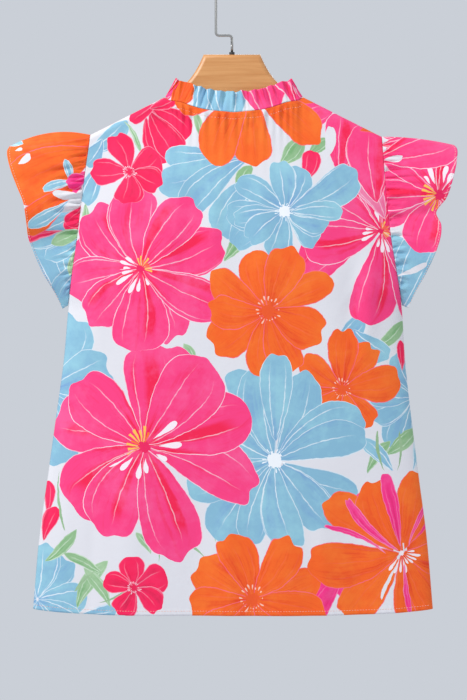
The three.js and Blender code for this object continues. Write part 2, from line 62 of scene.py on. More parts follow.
# Camera: straight at the back, level with the middle of the blouse
VIEW_DISTANCE = 2.2
VIEW_HEIGHT = 0.910
VIEW_MIDDLE = (0.002, -0.477)
FILM_LONG_SIDE = 36.0

# Cloth and seams
SHELL = 0.6
SEAM_GAP = 0.3
CLOTH = 1.2
HEM_DEPTH = 7.0
HEM_RAISE = 0.35
HEM_EDGE = 0.6
HEM_PUCKER = 0.22
HEM_PUCKER_REACH = 5.0
HEM_PUCKER_TURNS = (171, 263)
HEM_PUCKER_WANDER = (2.0, 23)

# Shoulders
SHOULDER_TOP = -148.6
SHOULDER_SLOPE = 0.505
SHOULDER_CENTRE = 2.5
FOLD_RADIUS = 8.5
FALL_TO_BODY = 120.0

# Neckline halves from the shoulder point (0 degrees) round to the middle (90)
NECK_HALF = 89.6
NECK_COLUMNS = ("degrees", "depth", "drop")
NECK = {
    "back": ((0, 3.05, 0.5), (9, 6, 1.9), (20, 9.6, 5.2), (40, 13.6, 8.2), (52, 16.2, 13.2), (66, 18.6, 18.4),
             (90, 20, 22.2)),
    "front": ((0, -2.75, 0.5), (8, 3, -0.1), (15, 7.6, 3), (23, 11.5, 10), (36, 17, 26), (52, 22, 47),
              (70, 25, 66), (90, 26, 74)),
}
NECK_BAND = 9.0
NECK_BAND_DIP = 0.35
NECK_BAND_DIP_WIDTH = 1.2
UNDERARM = -418.6
HEM = -819.0
HEM_SIDE_RISE = 6.0

# The body's half width, its middle and how far each panel stands off, from the shoulders down
BODY_COLUMNS = ("z", "half", "middle", "back", "front")
BODY = (
    (-148, 189, 5.0, 20, 25), (-200, 189, 5.2, 22, 26), (-240, 193, 4.0, 24, 28), (-281, 197, 3.0, 25, 30),
    (-330, 202.5, 2.8, 27, 31), (-375, 209.5, 3.2, 28, 31), (-419, 216, 4.0, 28, 31),
    (-490, 221.5, 3.2, 27, 30), (-560, 230, 2.2, 26, 29), (-646, 241.5, 1.6, 25, 27),
    (-720, 251.5, 1.3, 24, 26), (-819, 260, 1.3, 23, 25),
)
ARMHOLE_HALF_DEPTH = 13.0
ARMHOLE_CLOSING = 24.0
SIDE_POWER = 3
SIDE_SQUARENESS = 0.5
SIDE_SQUARENESS_ABOVE = 0.4
SIDE_CHANGE = 120.0

# Soft upright folds: from one point to another, how wide and how far out. The first rows are the
# model's own, and the finer ones below them are the cloth's.
Fold = namedtuple("Fold", "from_x from_z to_x to_z width out")
FOLDS = {
    "back": [Fold(*row) for row in (
        (-62, -205, -98, -430, 20, 2.4), (-18, -210, -30, -395, 15, 1.8), (34, -212, 44, -470, 18, 2.2),
        (88, -215, 128, -420, 20, 2.0), (186, -300, 168, -520, 13, 5.0), (160, -330, 148, -500, 15, -3.2),
        (-178, -330, -176, -520, 15, 3.2), (-120, -560, -138, -825, 26, 3.0),
        (-40, -600, -48, -825, 24, -2.4), (62, -590, 70, -825, 28, 2.6), (150, -610, 166, -825, 22, -2.6),
        (-128, -196, -150, -350, 7, 0.9), (-92, -190, -112, -300, 6, -0.8), (118, -196, 148, -330, 7, 1.0),
        (142, -205, 176, -360, 6, -0.8), (-150, -372, -96, -452, 6, 0.7), (178, -352, 128, -448, 6, 0.9),
        (182, -392, 150, -520, 8, -1.0), (-196, -392, -172, -560, 7, 0.9), (-212, -600, -222, -825, 11, 1.2),
        (-176, -640, -186, -825, 9, -1.1), (-90, -660, -96, -825, 10, 1.0), (-4, -640, -2, -825, 12, 1.2),
        (28, -700, 30, -825, 8, -0.8), (112, -650, 120, -825, 10, 1.1), (200, -640, 214, -825, 10, 1.3),
        (232, -690, 238, -825, 8, -0.9), (-8, -250, -14, -360, 6, -0.6), (60, -235, 74, -340, 7, 0.6),
    )],
    "front": [Fold(*row) for row in (
        (-70, -240, -104, -460, 20, 2.4), (-14, -245, -20, -450, 17, 2.0), (48, -240, 66, -480, 20, 2.4),
        (176, -310, 164, -520, 15, 3.8), (-180, -320, -170, -530, 15, 3.4), (-110, -570, -128, -825, 26, 3.0),
        (10, -600, 12, -825, 28, -2.6), (112, -590, 130, -825, 24, 2.8),
        (-132, -200, -158, -350, 7, 0.9), (124, -200, 150, -340, 7, 0.9), (-168, -380, -120, -470, 7, 0.8),
        (180, -372, 134, -462, 7, 0.8), (-206, -620, -216, -825, 11, 1.2), (-60, -650, -66, -825, 10, -1.0),
        (62, -640, 66, -825, 10, 1.1), (196, -640, 210, -825, 11, 1.2), (-160, -650, -170, -825, 8, -0.9),
    )],
}
NECK_GATHERS = 22
NECK_GATHER_OUT = 1.4
NECK_GATHER_FADE = 22.0
NECK_GATHER_ENDS = 1.6
NECK_FINE_GATHERS = 46
NECK_FINE_START = 3.0
RUMPLE = 0.5
RUMPLE_SIZE = (46.0, 78.2)
RUMPLE_APART = 7.0

# Neck frill
FRILL_HEIGHT = 27.5
FRILL_UPRIGHT = 0.83
FRILL_LEAN_SIDE = 0.56
FRILL_LEAN = {"back": 0.13, "front": 0.3}
FRILL_WAVES = {"back": 17, "front": 21}
FRILL_WAVE = 2.8
FRILL_WAVE_AT_ENDS = 0.4
FRILL_FINE_TURNS = 2.37
FRILL_FINE_WANDER = (1.9, 17)
FRILL_PINCH = 0.5
FRILL_UNEVEN = 0.05
FRILL_UNEVEN_TURNS = 0.73
FRILL_GATHERS = 36
FRILL_CREASE_POWER = 1.5
FRILL_CREASE_START = 9
FRILL_STEP = 2e-3
FRILL_LIFT_ON_FOLD = 0.75
FRILL_LIFT_ON_SLOPE = 0.4

# Flutter sleeves: the free edge of one half, from the underarm (0) to the shoulder (1)
SLEEVE_COLUMNS = ("up", "x", "z", "out", "bump")
SLEEVE = {
    "left": ((0, -220, -423, 2, 0), (0.08, -230, -402, 9, 0), (0.2, -246, -374, 15, 0),
             (0.33, -258, -346, 13, -2), (0.4, -263, -331, 16, -1), (0.47, -264, -317, 25, 2),
             (0.6, -268, -288, 26, 4), (0.72, -278, -264, 22, 4), (0.86, -288, -236, 17, 4),
             (0.95, -291, -220, 10, 6), (1, -289, -212.5, 0, 10)),
    "right": ((0, 229, -422, 2, 0), (0.08, 238, -401, 9, 0), (0.2, 252, -375, 16, 0),
              (0.36, 267, -338, 22, 1), (0.45, 270, -316, 18, 0), (0.52, 264, -299, 12, -1),
              (0.61, 277, -280, 20, 2), (0.74, 286, -250, 23, 3), (0.88, 291, -226, 17, 3),
              (0.96, 291, -216, 9, 3), (1, 289, -211, 0, 3)),
}
SLEEVE_SIGN = {"left": -1, "right": 1}
SLEEVE_GATHERS = 11
SLEEVE_GATHER_OUT = 1.3
SLEEVE_GATHER_START = 0.03
SLEEVE_GATHER_FADE = 0.22
SLEEVE_UNDERARM_EASE = 8
SLEEVE_CROWN_EASE = 10
SLEEVE_UNDERARM_GAP = 1.0
SLEEVE_UNDERARM_FADE = 26.0
SLEEVE_CROWN = -205.0
SLEEVE_FINE_GATHERS = 34
SLEEVE_CREASE_SPREADS = 1.5
SLEEVE_CREASE_POWER = 1.4
SLEEVE_CREASE_BETWEEN = 0.25
SLEEVE_FLUTE = 1.1
SLEEVE_FLUTE_TURNS = (27, 47)
SLEEVE_HEM_AT = 0.955
SLEEVE_HEM_EDGE = 0.012

# Where each piece's cloth lies on the print's one long chart, in millimetres to the right of the back
FRONT_ON_CHART = 1000.0
SLEEVE_ON_CHART = 2000.0
FRILL_ON_CHART = 3000.0


def eased(t):
    held = min(max(t, 0.0), 1.0)
    return held * held * (3 - 2 * held)


def swell(away):
    """A soft fold's outline: 1 at its middle and next to nothing two widths away."""
    return math.exp(-away * away)


def dying(at, length, steepness):
    """How much of a gather is left at a place along it, down to nothing at its length."""
    return eased((length - at) / length * steepness)


def ripple(first, second):
    """Two waves together, which make an uneven one."""
    return math.sin(first) + 0.6 * math.sin(second)


class Table:
    """Rows of numbers with named columns, read as a smooth curve at any place along the first."""

    def __init__(self, columns, rows):
        self.rows = sorted(rows)
        self.column = {name: i for i, name in enumerate(columns)}

    def read(self, name, at):
        rows, c = self.rows, self.column[name]
        place = min(max(at, rows[0][0]), rows[-1][0])
        i = 0
        while i < len(rows) - 2 and rows[i + 1][0] < place:
            i += 1

        def slope(k):
            before, after = rows[max(k - 1, 0)], rows[min(k + 1, len(rows) - 1)]
            return (after[c] - before[c]) / (after[0] - before[0])

        span = rows[i + 1][0] - rows[i][0]
        t = (place - rows[i][0]) / span
        t2, t3 = t * t, t * t * t
        return ((2 * t3 - 3 * t2 + 1) * rows[i][c] + (t3 - 2 * t2 + t) * span * slope(i)
                + (3 * t2 - 2 * t3) * rows[i + 1][c] + (t3 - t2) * span * slope(i + 1))


body_table = Table(BODY_COLUMNS, BODY)
neck_table = {face: Table(NECK_COLUMNS, rows) for face, rows in NECK.items()}
sleeve_table = {side: Table(SLEEVE_COLUMNS, rows) for side, rows in SLEEVE.items()}
SIGN = {"back": -1, "front": 1}


def shoulder_fold(x):
    return SHOULDER_TOP - SHOULDER_SLOPE * (abs(x - SHOULDER_CENTRE) - NECK_HALF)


def edge_depth(z):
    above = max(z - UNDERARM, 0)
    return SEAM_GAP * 0.75 + ARMHOLE_HALF_DEPTH * (1 - math.exp(-above / ARMHOLE_CLOSING))


def neck_point(face, side, degrees):
    table = neck_table[face]
    return Vector((
        SHOULDER_CENTRE + side * NECK_HALF * math.cos(math.radians(degrees)),
        SIGN[face] * table.read("depth", degrees),
        SHOULDER_TOP - table.read("drop", degrees),
    ))


def top_edge(face, across):
    """Where a panel's top edge is, for a place across from -1 to 1, and how far inside the neck."""
    x = BODY[0][2] + across * BODY[0][1]
    in_neck = (x - SHOULDER_CENTRE) / NECK_HALF
    side = -1 if in_neck < 0 else 1
    if abs(in_neck) >= 1:
        seam = neck_point(face, side, 0)
        return Vector((x, seam.y, seam.z + shoulder_fold(x) - SHOULDER_TOP)), 0.0
    point = neck_point(face, side, math.degrees(math.acos(abs(in_neck))))
    return Vector((x, point.y, point.z)), math.sqrt(1 - in_neck ** 2)


def stand_off(face, x, z):
    """How far a panel stands off the middle plane, with its folds and its soft rumpling."""
    half = body_table.read("half", z)
    t = min(abs((x - body_table.read("middle", z)) / half), 1.0)
    squareness = SIDE_SQUARENESS + SIDE_SQUARENESS_ABOVE * eased((z - UNDERARM) / SIDE_CHANGE)
    rounding = (1 - t ** SIDE_POWER) ** squareness
    edge = edge_depth(z)
    depth = edge + (body_table.read(face, z) - edge) * rounding
    for fold in FOLDS[face]:
        along = min(max((z - fold.from_z) / (fold.to_z - fold.from_z), 0), 1)
        away = (x - (fold.from_x + (fold.to_x - fold.from_x) * along)) / fold.width
        if abs(away) < 3:
            fade = eased(along * 2) if fold.to_z < HEM else math.sin(math.pi * along) ** 2
            depth += fold.out * fade * rounding * swell(away)
    rumple = noise.noise(Vector((x / RUMPLE_SIZE[0], z / RUMPLE_SIZE[1], RUMPLE_APART * SIGN[face])))
    return depth + RUMPLE * rumple * rounding


# Fine gathers: place across the piece, length down it, width, how far out or in, and slant
Gather = namedtuple("Gather", "place length width by slant", defaults=(0,))


def strewn(hand, count, place, **ranges):
    """Gathers of sizes drawn from ranges, each at the place that place(k) gives."""
    return [Gather(place(k), **{size: hand.uniform(*ends) for size, ends in ranges.items()})
            for k in range(count)]


def in_turn(hand, count):
    return lambda k: (k + hand.random()) / count


cloth_hand, frill_hand = random.Random(41), random.Random(17)
neck_gathers = {
    face: strewn(cloth_hand, NECK_FINE_GATHERS, lambda k: cloth_hand.uniform(-1, 1),
                 length=(14, 46), width=(1.6, 3.0), by=(-1.8, 1.8))
    for face in SIGN
}
sleeve_gathers = {
    (side, face): strewn(cloth_hand, SLEEVE_FINE_GATHERS, in_turn(cloth_hand, SLEEVE_FINE_GATHERS),
                         length=(0.12, 0.7), width=(0.006, 0.013), by=(1.2, 4.6), slant=(-0.06, 0.03))
    for side in SLEEVE for face in SIGN
}
frill_gathers = {
    face: strewn(frill_hand, FRILL_GATHERS, in_turn(frill_hand, FRILL_GATHERS),
                 width=(0.005, 0.011), by=(0.6, 2.1), length=(0.5, 1.3))
    for face in SIGN
}

known_runs = {}
known_seams = {}


def top_run(face, across):
    """A panel's run at one place across: its top point and how far inside the neck that is, the turn of
    the shoulder fold where it starts, the fold's centre, the run over the fold, and the run from the top
    edge to the underarm's level."""
    if (face, across) in known_runs:
        return known_runs[face, across]
    top, in_round = top_edge(face, across)
    start_turn = math.asin(min(max(SIGN[face] * top.y / FOLD_RADIUS, -1), 1))
    fold_centre = top.z - FOLD_RADIUS * math.cos(start_turn)
    arc = FOLD_RADIUS * (math.pi / 2 - start_turn)
    known_runs[face, across] = top, in_round, start_turn, fold_centre, arc, arc + fold_centre - UNDERARM
    return known_runs[face, across]


def hem_level(across):
    return HEM + HEM_SIDE_RISE * abs(across) ** 4


def neck_gather(face, top, in_round, run):
    """How far the gathers below the neck stand out, less the line of stitching that sinks into them."""
    in_neck = (top.x - SHOULDER_CENTRE) / NECK_HALF
    fade = eased(run / NECK_BAND) * math.exp(-max(run - NECK_BAND, 0) / NECK_GATHER_FADE)
    out = NECK_GATHER_OUT * math.cos(NECK_GATHERS * math.acos(in_neck) * 2) * fade
    for gather in neck_gathers[face]:
        away = (in_neck - gather.place) * NECK_HALF / gather.width
        if abs(away) < 2.5 and run < gather.length:
            out += gather.by * swell(away) * eased(run / NECK_FINE_START) * dying(run, gather.length, 2)
    out -= NECK_BAND_DIP * swell((run - NECK_BAND) / NECK_BAND_DIP_WIDTH)
    return out * eased(in_round * NECK_GATHER_ENDS)


def hem_raise(across, above_hem):
    """How far the double-turned hem stands out, with the pucker along its stitching."""
    wander = HEM_PUCKER_WANDER[0] * math.sin(across * HEM_PUCKER_WANDER[1])
    pucker = ripple(across * HEM_PUCKER_TURNS[0] + wander, across * HEM_PUCKER_TURNS[1] + 1.3)
    return (HEM_RAISE * eased(HEM_DEPTH + HEM_EDGE - above_hem)
            + HEM_PUCKER * pucker * swell((above_hem - HEM_DEPTH) / HEM_PUCKER_REACH))


def body_point(face, across, down):
    """A point of a panel's middle surface, and its place on the cloth. down runs 0 to 1 from the top
    edge to the underarm's level, and on to 2 at the hem."""
    top, in_round, start_turn, fold_centre, arc, upper = top_run(face, across)
    sign = SIGN[face]
    hem_z = hem_level(across)
    run = down * upper if down <= 1 else upper + (down - 1) * (UNDERARM - hem_z)
    if run < arc:
        turn = start_turn + run / FOLD_RADIUS
        y = sign * FOLD_RADIUS * math.sin(turn)
        z = fold_centre + FOLD_RADIUS * math.cos(turn)
    else:
        z = fold_centre - (run - arc)
        start = max(FOLD_RADIUS, sign * top.y)
        x = body_table.read("middle", z) + across * body_table.read("half", z)
        y = sign * (start + (stand_off(face, x, z) - start) * eased((run - arc) / FALL_TO_BODY))
    if in_round > 0:
        y += sign * neck_gather(face, top, in_round, run)
    above_hem = (2 - down) * (UNDERARM - hem_z)
    if down > 1 and above_hem < HEM_DEPTH * 4:
        y += sign * hem_raise(across, above_hem)
    x = body_table.read("middle", z) + across * body_table.read("half", z)
    on_chart_x = x if face == "back" else FRONT_ON_CHART - x
    return Vector((x, y, z)), (on_chart_x, fold_centre + arc - run)


def sleeve_point(side, round_, out):
    """A point of a sleeve's middle surface and its place on the cloth. round_ goes 0 to 1 from the
    underarm up the back, over the shoulder and down the front; out goes 0 to 1 to the free edge."""
    face = "back" if round_ <= 0.5 else "front"
    sign = SIGN[face]
    outward = SLEEVE_SIGN[side]
    table = sleeve_table[side]
    up = 1 - abs(1 - 2 * round_)
    if (side, round_) not in known_seams:
        known_seams[side, round_] = body_point(face, outward, 1 - up)[0]
    seam = known_seams[side, round_].copy()
    at_underarm = math.exp(-(seam.z - UNDERARM) / SLEEVE_UNDERARM_FADE)
    seam.x += outward * (SEAM_GAP + SLEEVE_UNDERARM_GAP * at_underarm)
    edge = Vector((table.read("x", up), sign * table.read("out", up), table.read("z", up)))
    point = seam.lerp(edge, out)
    bump = table.read("bump", up) * 4 * out * (1 - out)
    flat = eased((1 - up) * SLEEVE_UNDERARM_EASE)
    point.z += bump * (1 - flat)
    point.y += sign * bump * flat
    ends = eased(up * SLEEVE_UNDERARM_EASE) * eased((1 - up) * SLEEVE_CROWN_EASE)
    start = eased(out / SLEEVE_GATHER_START) * ends
    turn = 2 * math.pi * SLEEVE_GATHERS * up
    point.y += sign * SLEEVE_GATHER_OUT * math.cos(turn) * math.exp(-out / SLEEVE_GATHER_FADE) * start
    for gather in sleeve_gathers[side, face]:
        away = (up - gather.place - gather.slant * out) / (gather.width * (1 + SLEEVE_CREASE_SPREADS * out))
        if abs(away) < 3 and out < gather.length:
            crease = math.exp(-abs(away) ** SLEEVE_CREASE_POWER) - SLEEVE_CREASE_BETWEEN
            point.y -= sign * gather.by * crease * start * dying(out, gather.length, 1.3)
    flute = ripple(up * SLEEVE_FLUTE_TURNS[0] + sign * 0.8 + outward, up * SLEEVE_FLUTE_TURNS[1] + 1.4)
    point.y += sign * SLEEVE_FLUTE * flute * out * out * ends
    point.y += sign * HEM_RAISE * eased((out - SLEEVE_HEM_AT) / SLEEVE_HEM_EDGE) * ends
    unfolded = point.z if face == "back" else 2 * SLEEVE_CROWN - point.z
    return point, (SLEEVE_ON_CHART + point.x, unfolded)


def frill_point(round_, high):
    """A point of the neck frill's middle surface and its place on the cloth. round_ goes once round
    the neck from the wearer's right, along the back first; high goes 0 to 1 to the free edge."""
    def around(place):
        degrees = (place * 360) % 180
        side = -1 if math.cos(2 * math.pi * place) < 0 else 1
        return neck_point("back" if place <= 0.5 else "front", side, min(degrees, 180 - degrees))

    face = "back" if round_ <= 0.5 else "front"
    seam = around(round_)
    along = (around((round_ + FRILL_STEP) % 1) - around((round_ + 1 - FRILL_STEP) % 1)).normalized()
    turn = 2 * math.pi * round_
    rise = Vector((-math.cos(turn) * FRILL_LEAN_SIDE, FRILL_LEAN[face] * math.sin(turn) ** 2, FRILL_UPRIGHT))
    rise = (rise - along * rise.dot(along)).normalized()
    inwards = along.cross(rise).normalized()
    on_fold = math.sqrt(max(1 - (seam.y / FOLD_RADIUS) ** 2, 0))
    share = round_ * 2 if face == "back" else round_ * 2 - 1
    middle = math.sin(math.pi * share)
    turns = 2 * math.pi * share * FRILL_WAVES[face]
    wander = FRILL_FINE_WANDER[0] * math.sin(share * FRILL_FINE_WANDER[1])
    fine = math.sin(FRILL_FINE_TURNS * turns + wander) * middle
    ease = FRILL_WAVE_AT_ENDS + (1 - FRILL_WAVE_AT_ENDS) * middle
    wave = (math.sin(turns) * FRILL_WAVE + fine) * high * ease
    for gather in frill_gathers[face]:
        away = (share - gather.place) / gather.width
        if abs(away) < 3 and high < gather.length:
            crease = math.exp(-abs(away) ** FRILL_CREASE_POWER) * middle * eased(high * FRILL_CREASE_START)
            wave += gather.by * crease * dying(high, gather.length, 1.6)
    pinch = FRILL_PINCH * math.sin(2 * turns) * high * middle
    lift = CLOTH * (FRILL_LIFT_ON_FOLD * on_fold + FRILL_LIFT_ON_SLOPE * abs(along.z))
    low_places = 0.5 + 0.5 * math.sin(turns * FRILL_UNEVEN_TURNS + 0.7)
    uneven = 1 - FRILL_UNEVEN * high * low_places * middle
    point = seam + rise * (SEAM_GAP + lift + FRILL_HEIGHT * high * uneven) + inwards * wave + along * pinch
    over = seam.x if face == "back" else 2 * (SHOULDER_CENTRE - NECK_HALF) - seam.x
    on_cloth = (over + SHOULDER_CENTRE + NECK_HALF * (1 - 4 * round_)) / 2
    return point, (FRILL_ON_CHART + on_cloth, FRILL_HEIGHT * high)


# The print: flowers on a white ground, laid out in chart squares counted from the left and the
# top. turn is the first petal's direction in degrees up from the right, fat a petal's half width as a
# share of its reach, lean says how much further the petals reach towards lean_to, and tuft is the side of
# the heart that its stamens lean to.
SQUARE = 1.3
CHART_MIDDLE = 232
CHART_TOP = -17
GROUND, PINK, CRIMSON, ORANGE, BLUE, LEAF, MAGENTA, STEM, ROSE = range(9)
PALETTES = 9
NO_HEART, STAMENS, DASHES, DISC, STREAKS, STAR = range(6)
HEARTS = 6
Bloom = namedtuple(
    "Bloom",
    "across down petals reach turn fat colour heart heart_size lean lean_to seed tuft",
    defaults=(90,),
)
Blade = namedtuple("Blade", "across down to_across to_down width bend colour tip")


class Petal:
    """One painted petal or leaf on the chart, in millimetres, and what the print's material needs."""

    def __init__(self, base, tip, width, bend, tooth, tip_power, colour, seed, rank):
        self.base, self.length, self.width = base, (tip - base).length, width
        self.way = (tip - base) / self.length
        self.bend, self.tooth, self.tip_power = bend, tooth, tip_power
        self.colour, self.seed, self.rank = colour, seed, rank
        reach = width + abs(bend) + BUCKET
        self.low = Vector((min(base.x, tip.x) - reach, min(base.y, tip.y) - reach))
        self.high = Vector((max(base.x, tip.x) + reach, max(base.y, tip.y) + reach))

    def meets(self, x, y, margin):
        """Whether the petal comes within the margin of a point, and whether it hides all around it."""
        dx, dy = x - self.base.x, y - self.base.y
        along = (dx * self.way.x + dy * self.way.y) / self.length
        across = dx * self.way.y - dy * self.way.x - 4 * self.bend * along * (1 - along)
        slack = margin / self.length
        if along < -slack or along > 1 + slack:
            return False, False
        toothed = along * (1 + self.tooth)
        widest = max(petal_width(along + s, self.tip_power) for s in (-slack, 0, slack))
        least = min(petal_width(toothed + s, self.tip_power) for s in (-slack, slack))
        inside = margin * HIDES_WITHIN < least * self.width - abs(across) and along > slack
        return abs(across) < widest * self.width + margin * MEETS_WITHIN, inside


BUCKET = 20.0
HIDES_WITHIN = 1.3
MEETS_WITHIN = 1.2
PETAL_SCALE = 1.612
PETAL_GROWS = 0.75
PETAL_CUBE = 3


def petal_width(along, tip_power):
    """A petal's half width along it, as a share of its widest."""
    held = min(max(along, 0), 1)
    return PETAL_SCALE * held ** PETAL_GROWS * (1 - held ** PETAL_CUBE) ** tip_power


def on_chart(across, down, shift=0.0):
    return Vector(((across - CHART_MIDDLE) * SQUARE + shift, -(down - CHART_TOP) * SQUARE))


def blades(colour, tip, *rows):
    return [Blade(*row, colour, tip) for row in rows]


BACK_PRINT = [
    Bloom(45, 388, 8, 76, 16, 0.34, BLUE, DISC, 7, 0, 0, 1),
    Bloom(414, 398, 8, 54, 160, 0.3, BLUE, NO_HEART, 0, 0, 0, 2),
    Bloom(38, 598, 9, 54, 80, 0.3, BLUE, NO_HEART, 0, 0, 0, 3),
    *blades(BLUE, 0.5, (84, 612, 118, 606, 7, 1), (86, 156, 128, 122, 10, 3), (103, 140, 84, 166, 10, -2),
            (102, 166, 86, 206, 11, 2)),
    *blades(LEAF, 1.0, (70, 262, 112, 246, 8, 3), (86, 204, 92, 240, 6, 1), (124, 122, 142, 156, 3, -3),
            (204, 150, 194, 112, 5, 2)),
    Blade(330, 345, 362, 318, 10, 3, BLUE, 0.5), Blade(372, 350, 404, 320, 8, 3, LEAF, 1.0),
    Blade(402, 370, 400, 340, 5, 0, CRIMSON, 0.6), Blade(196, 372, 184, 342, 6, 2, LEAF, 1.0),
    Blade(352, 330, 388, 358, 12, 3, BLUE, 0.5),
    *blades(LEAF, 1.0, (46, 560, 78, 528, 7, 3), (78, 606, 110, 558, 9, -5), (112, 604, 84, 566, 7, 3),
            (104, 572, 64, 552, 6, 2), (224, 556, 222, 508, 10, 3), (152, 552, 136, 530, 5, 2),
            (384, 454, 416, 426, 9, 3), (366, 472, 390, 440, 7, -3)),
    Blade(392, 470, 360, 438, 8, 2, BLUE, 0.6), Blade(412, 470, 418, 432, 5, 2, BLUE, 0.5),
    *blades(CRIMSON, 0.5, (48, 512, 48, 480, 7, 2), (44, 540, 58, 506, 8, -2)),
    *blades(LEAF, 1.0, (280, 166, 302, 138, 11, 2), (308, 158, 330, 140, 8, -2),
            (236, 196, 252, 166, 8, -2), (224, 262, 242, 232, 8, 2)),
    *blades(STEM, 0.5, (232, 470, 216, 540, 1.3, 5), (160, 560, 170, 520, 1.4, -3),
            (396, 470, 398, 430, 1.3, 3), (100, 600, 128, 586, 1.2, 3), (60, 470, 66, 530, 1.2, 3),
            (206, 556, 176, 536, 1.6, 3), (100, 566, 76, 590, 1.4, 2), (384, 470, 376, 430, 1.6, -3)),
    Bloom(380, 232, 10, 86, 146, 0.285, PINK, STAMENS, 15, 0.16, -95, 4, 20),
    Blade(384, 220, 350, 168, 13, 4, ROSE, 0.42), Blade(284, 132, 330, 104, 17, -3, PINK, 0.5),
    *blades(PINK, 0.45, (338, 176, 350, 112, 25, 4), (376, 204, 372, 122, 25, -3)),
    Blade(326, 160, 330, 126, 6, 2, GROUND, 0.6), Blade(306, 182, 312, 152, 10, 1, CRIMSON, 0.45),
    Blade(360, 132, 386, 118, 8, 1, ORANGE, 0.5), Blade(150, 108, 190, 138, 13, -3, CRIMSON, 0.42),
    Blade(146, 118, 166, 165, 10, 4, CRIMSON, 0.5), Blade(149, 112, 180, 158, 14, 1, CRIMSON, 0.42),
    *blades(CRIMSON, 0.5, (158, 104, 130, 122, 8, 1), (150, 110, 178, 96, 8, 1)),
    Blade(240, 158, 166, 158, 13, -3, BLUE, 0.45), Blade(250, 156, 158, 188, 19, -6, BLUE, 0.42),
    Blade(248, 160, 182, 217, 17, 7, BLUE, 0.45), Blade(256, 176, 218, 238, 17, 5, BLUE, 0.42),
    *blades(BLUE, 0.45, (290, 206, 232, 246, 16, 4), (292, 214, 226, 214, 15, -4)),
    Bloom(284, 213, 9, 49, 142, 0.27, BLUE, DISC, 7, 0.1, 160, 6),
    Blade(290, 209, 357, 172, 18, 6, BLUE, 0.42), Blade(290, 213, 342, 214, 10, -2, BLUE, 0.45),
    Bloom(252, 94, 8, 74, -80, 0.3, ORANGE, NO_HEART, 0, 0.13, -72, 7),
    Bloom(341, 388, 8, 54, 95, 0.295, ORANGE, DASHES, 10, 0.1, 80, 12),
    Bloom(274, 459, 13, 96, 90, 0.205, BLUE, DISC, 9, 0.05, 60, 10),
    Bloom(145, 445, 9, 107, 90, 0.305, PINK, STAMENS, 27, 0.14, -15, 13, 135),
    Bloom(142, 270, 10, 85, 86, 0.285, PINK, STAMENS, 18, 0.1, -10, 8, 50),
    Bloom(130, 173, 5, 37, 112, 0.4, CRIMSON, STAR, 8, 0.1, 110, 9),
    Bloom(268, 311, 9, 66, 103, 0.285, ORANGE, DASHES, 13, 0.05, 60, 11),
    Blade(275, 440, 276, 353, 16, 0, BLUE, 0.42),
    Bloom(400, 552, 4, 80, 133, 0.2, MAGENTA, NO_HEART, 0, 0, 0, 18),
    Blade(344, 564, 298, 620, 19, 3, MAGENTA, 0.5), Blade(330, 584, 308, 570, 4, 1, GROUND, 0.5),
    Bloom(252, 596, 9, 72, 105, 0.285, ORANGE, DASHES, 13, 0.05, 20, 14),
    Bloom(400, 552, 9, 86, 113, 0.245, ORANGE, STREAKS, 13, 0.05, 150, 15, 115),
    Blade(399, 545, 383, 472, 7, 1, MAGENTA, 0.4), Blade(397, 549, 345, 497, 5, -5, MAGENTA, 0.42),
    Blade(385, 552, 322, 524, 2.6, 5, MAGENTA, 0.45), Blade(403, 562, 409, 612, 3, 1, MAGENTA, 0.5),
    Blade(397, 562, 380, 598, 1.8, 2, GROUND, 0.5), Blade(408, 546, 430, 500, 2.4, -3, MAGENTA, 0.5),
    Bloom(135, 585, 5, 33, 100, 0.41, CRIMSON, STAR, 8, 0, 0, 16),
]
FRONT_PRINT = [
    Bloom(52, 486, 8, 58, 40, 0.32, BLUE, DISC, 8, 0, 0, 31), Blade(96, 470, 78, 440, 7, 2, LEAF, 1.0),
    Bloom(66, 590, 9, 66, 100, 0.29, ORANGE, DASHES, 11, 0.05, 40, 32),
    Blade(30, 540, 52, 516, 7, 2, LEAF, 1.0), Blade(400, 540, 430, 470, 14, 3, BLUE, 0.45),
    Blade(402, 610, 436, 556, 16, -3, PINK, 0.45),
]
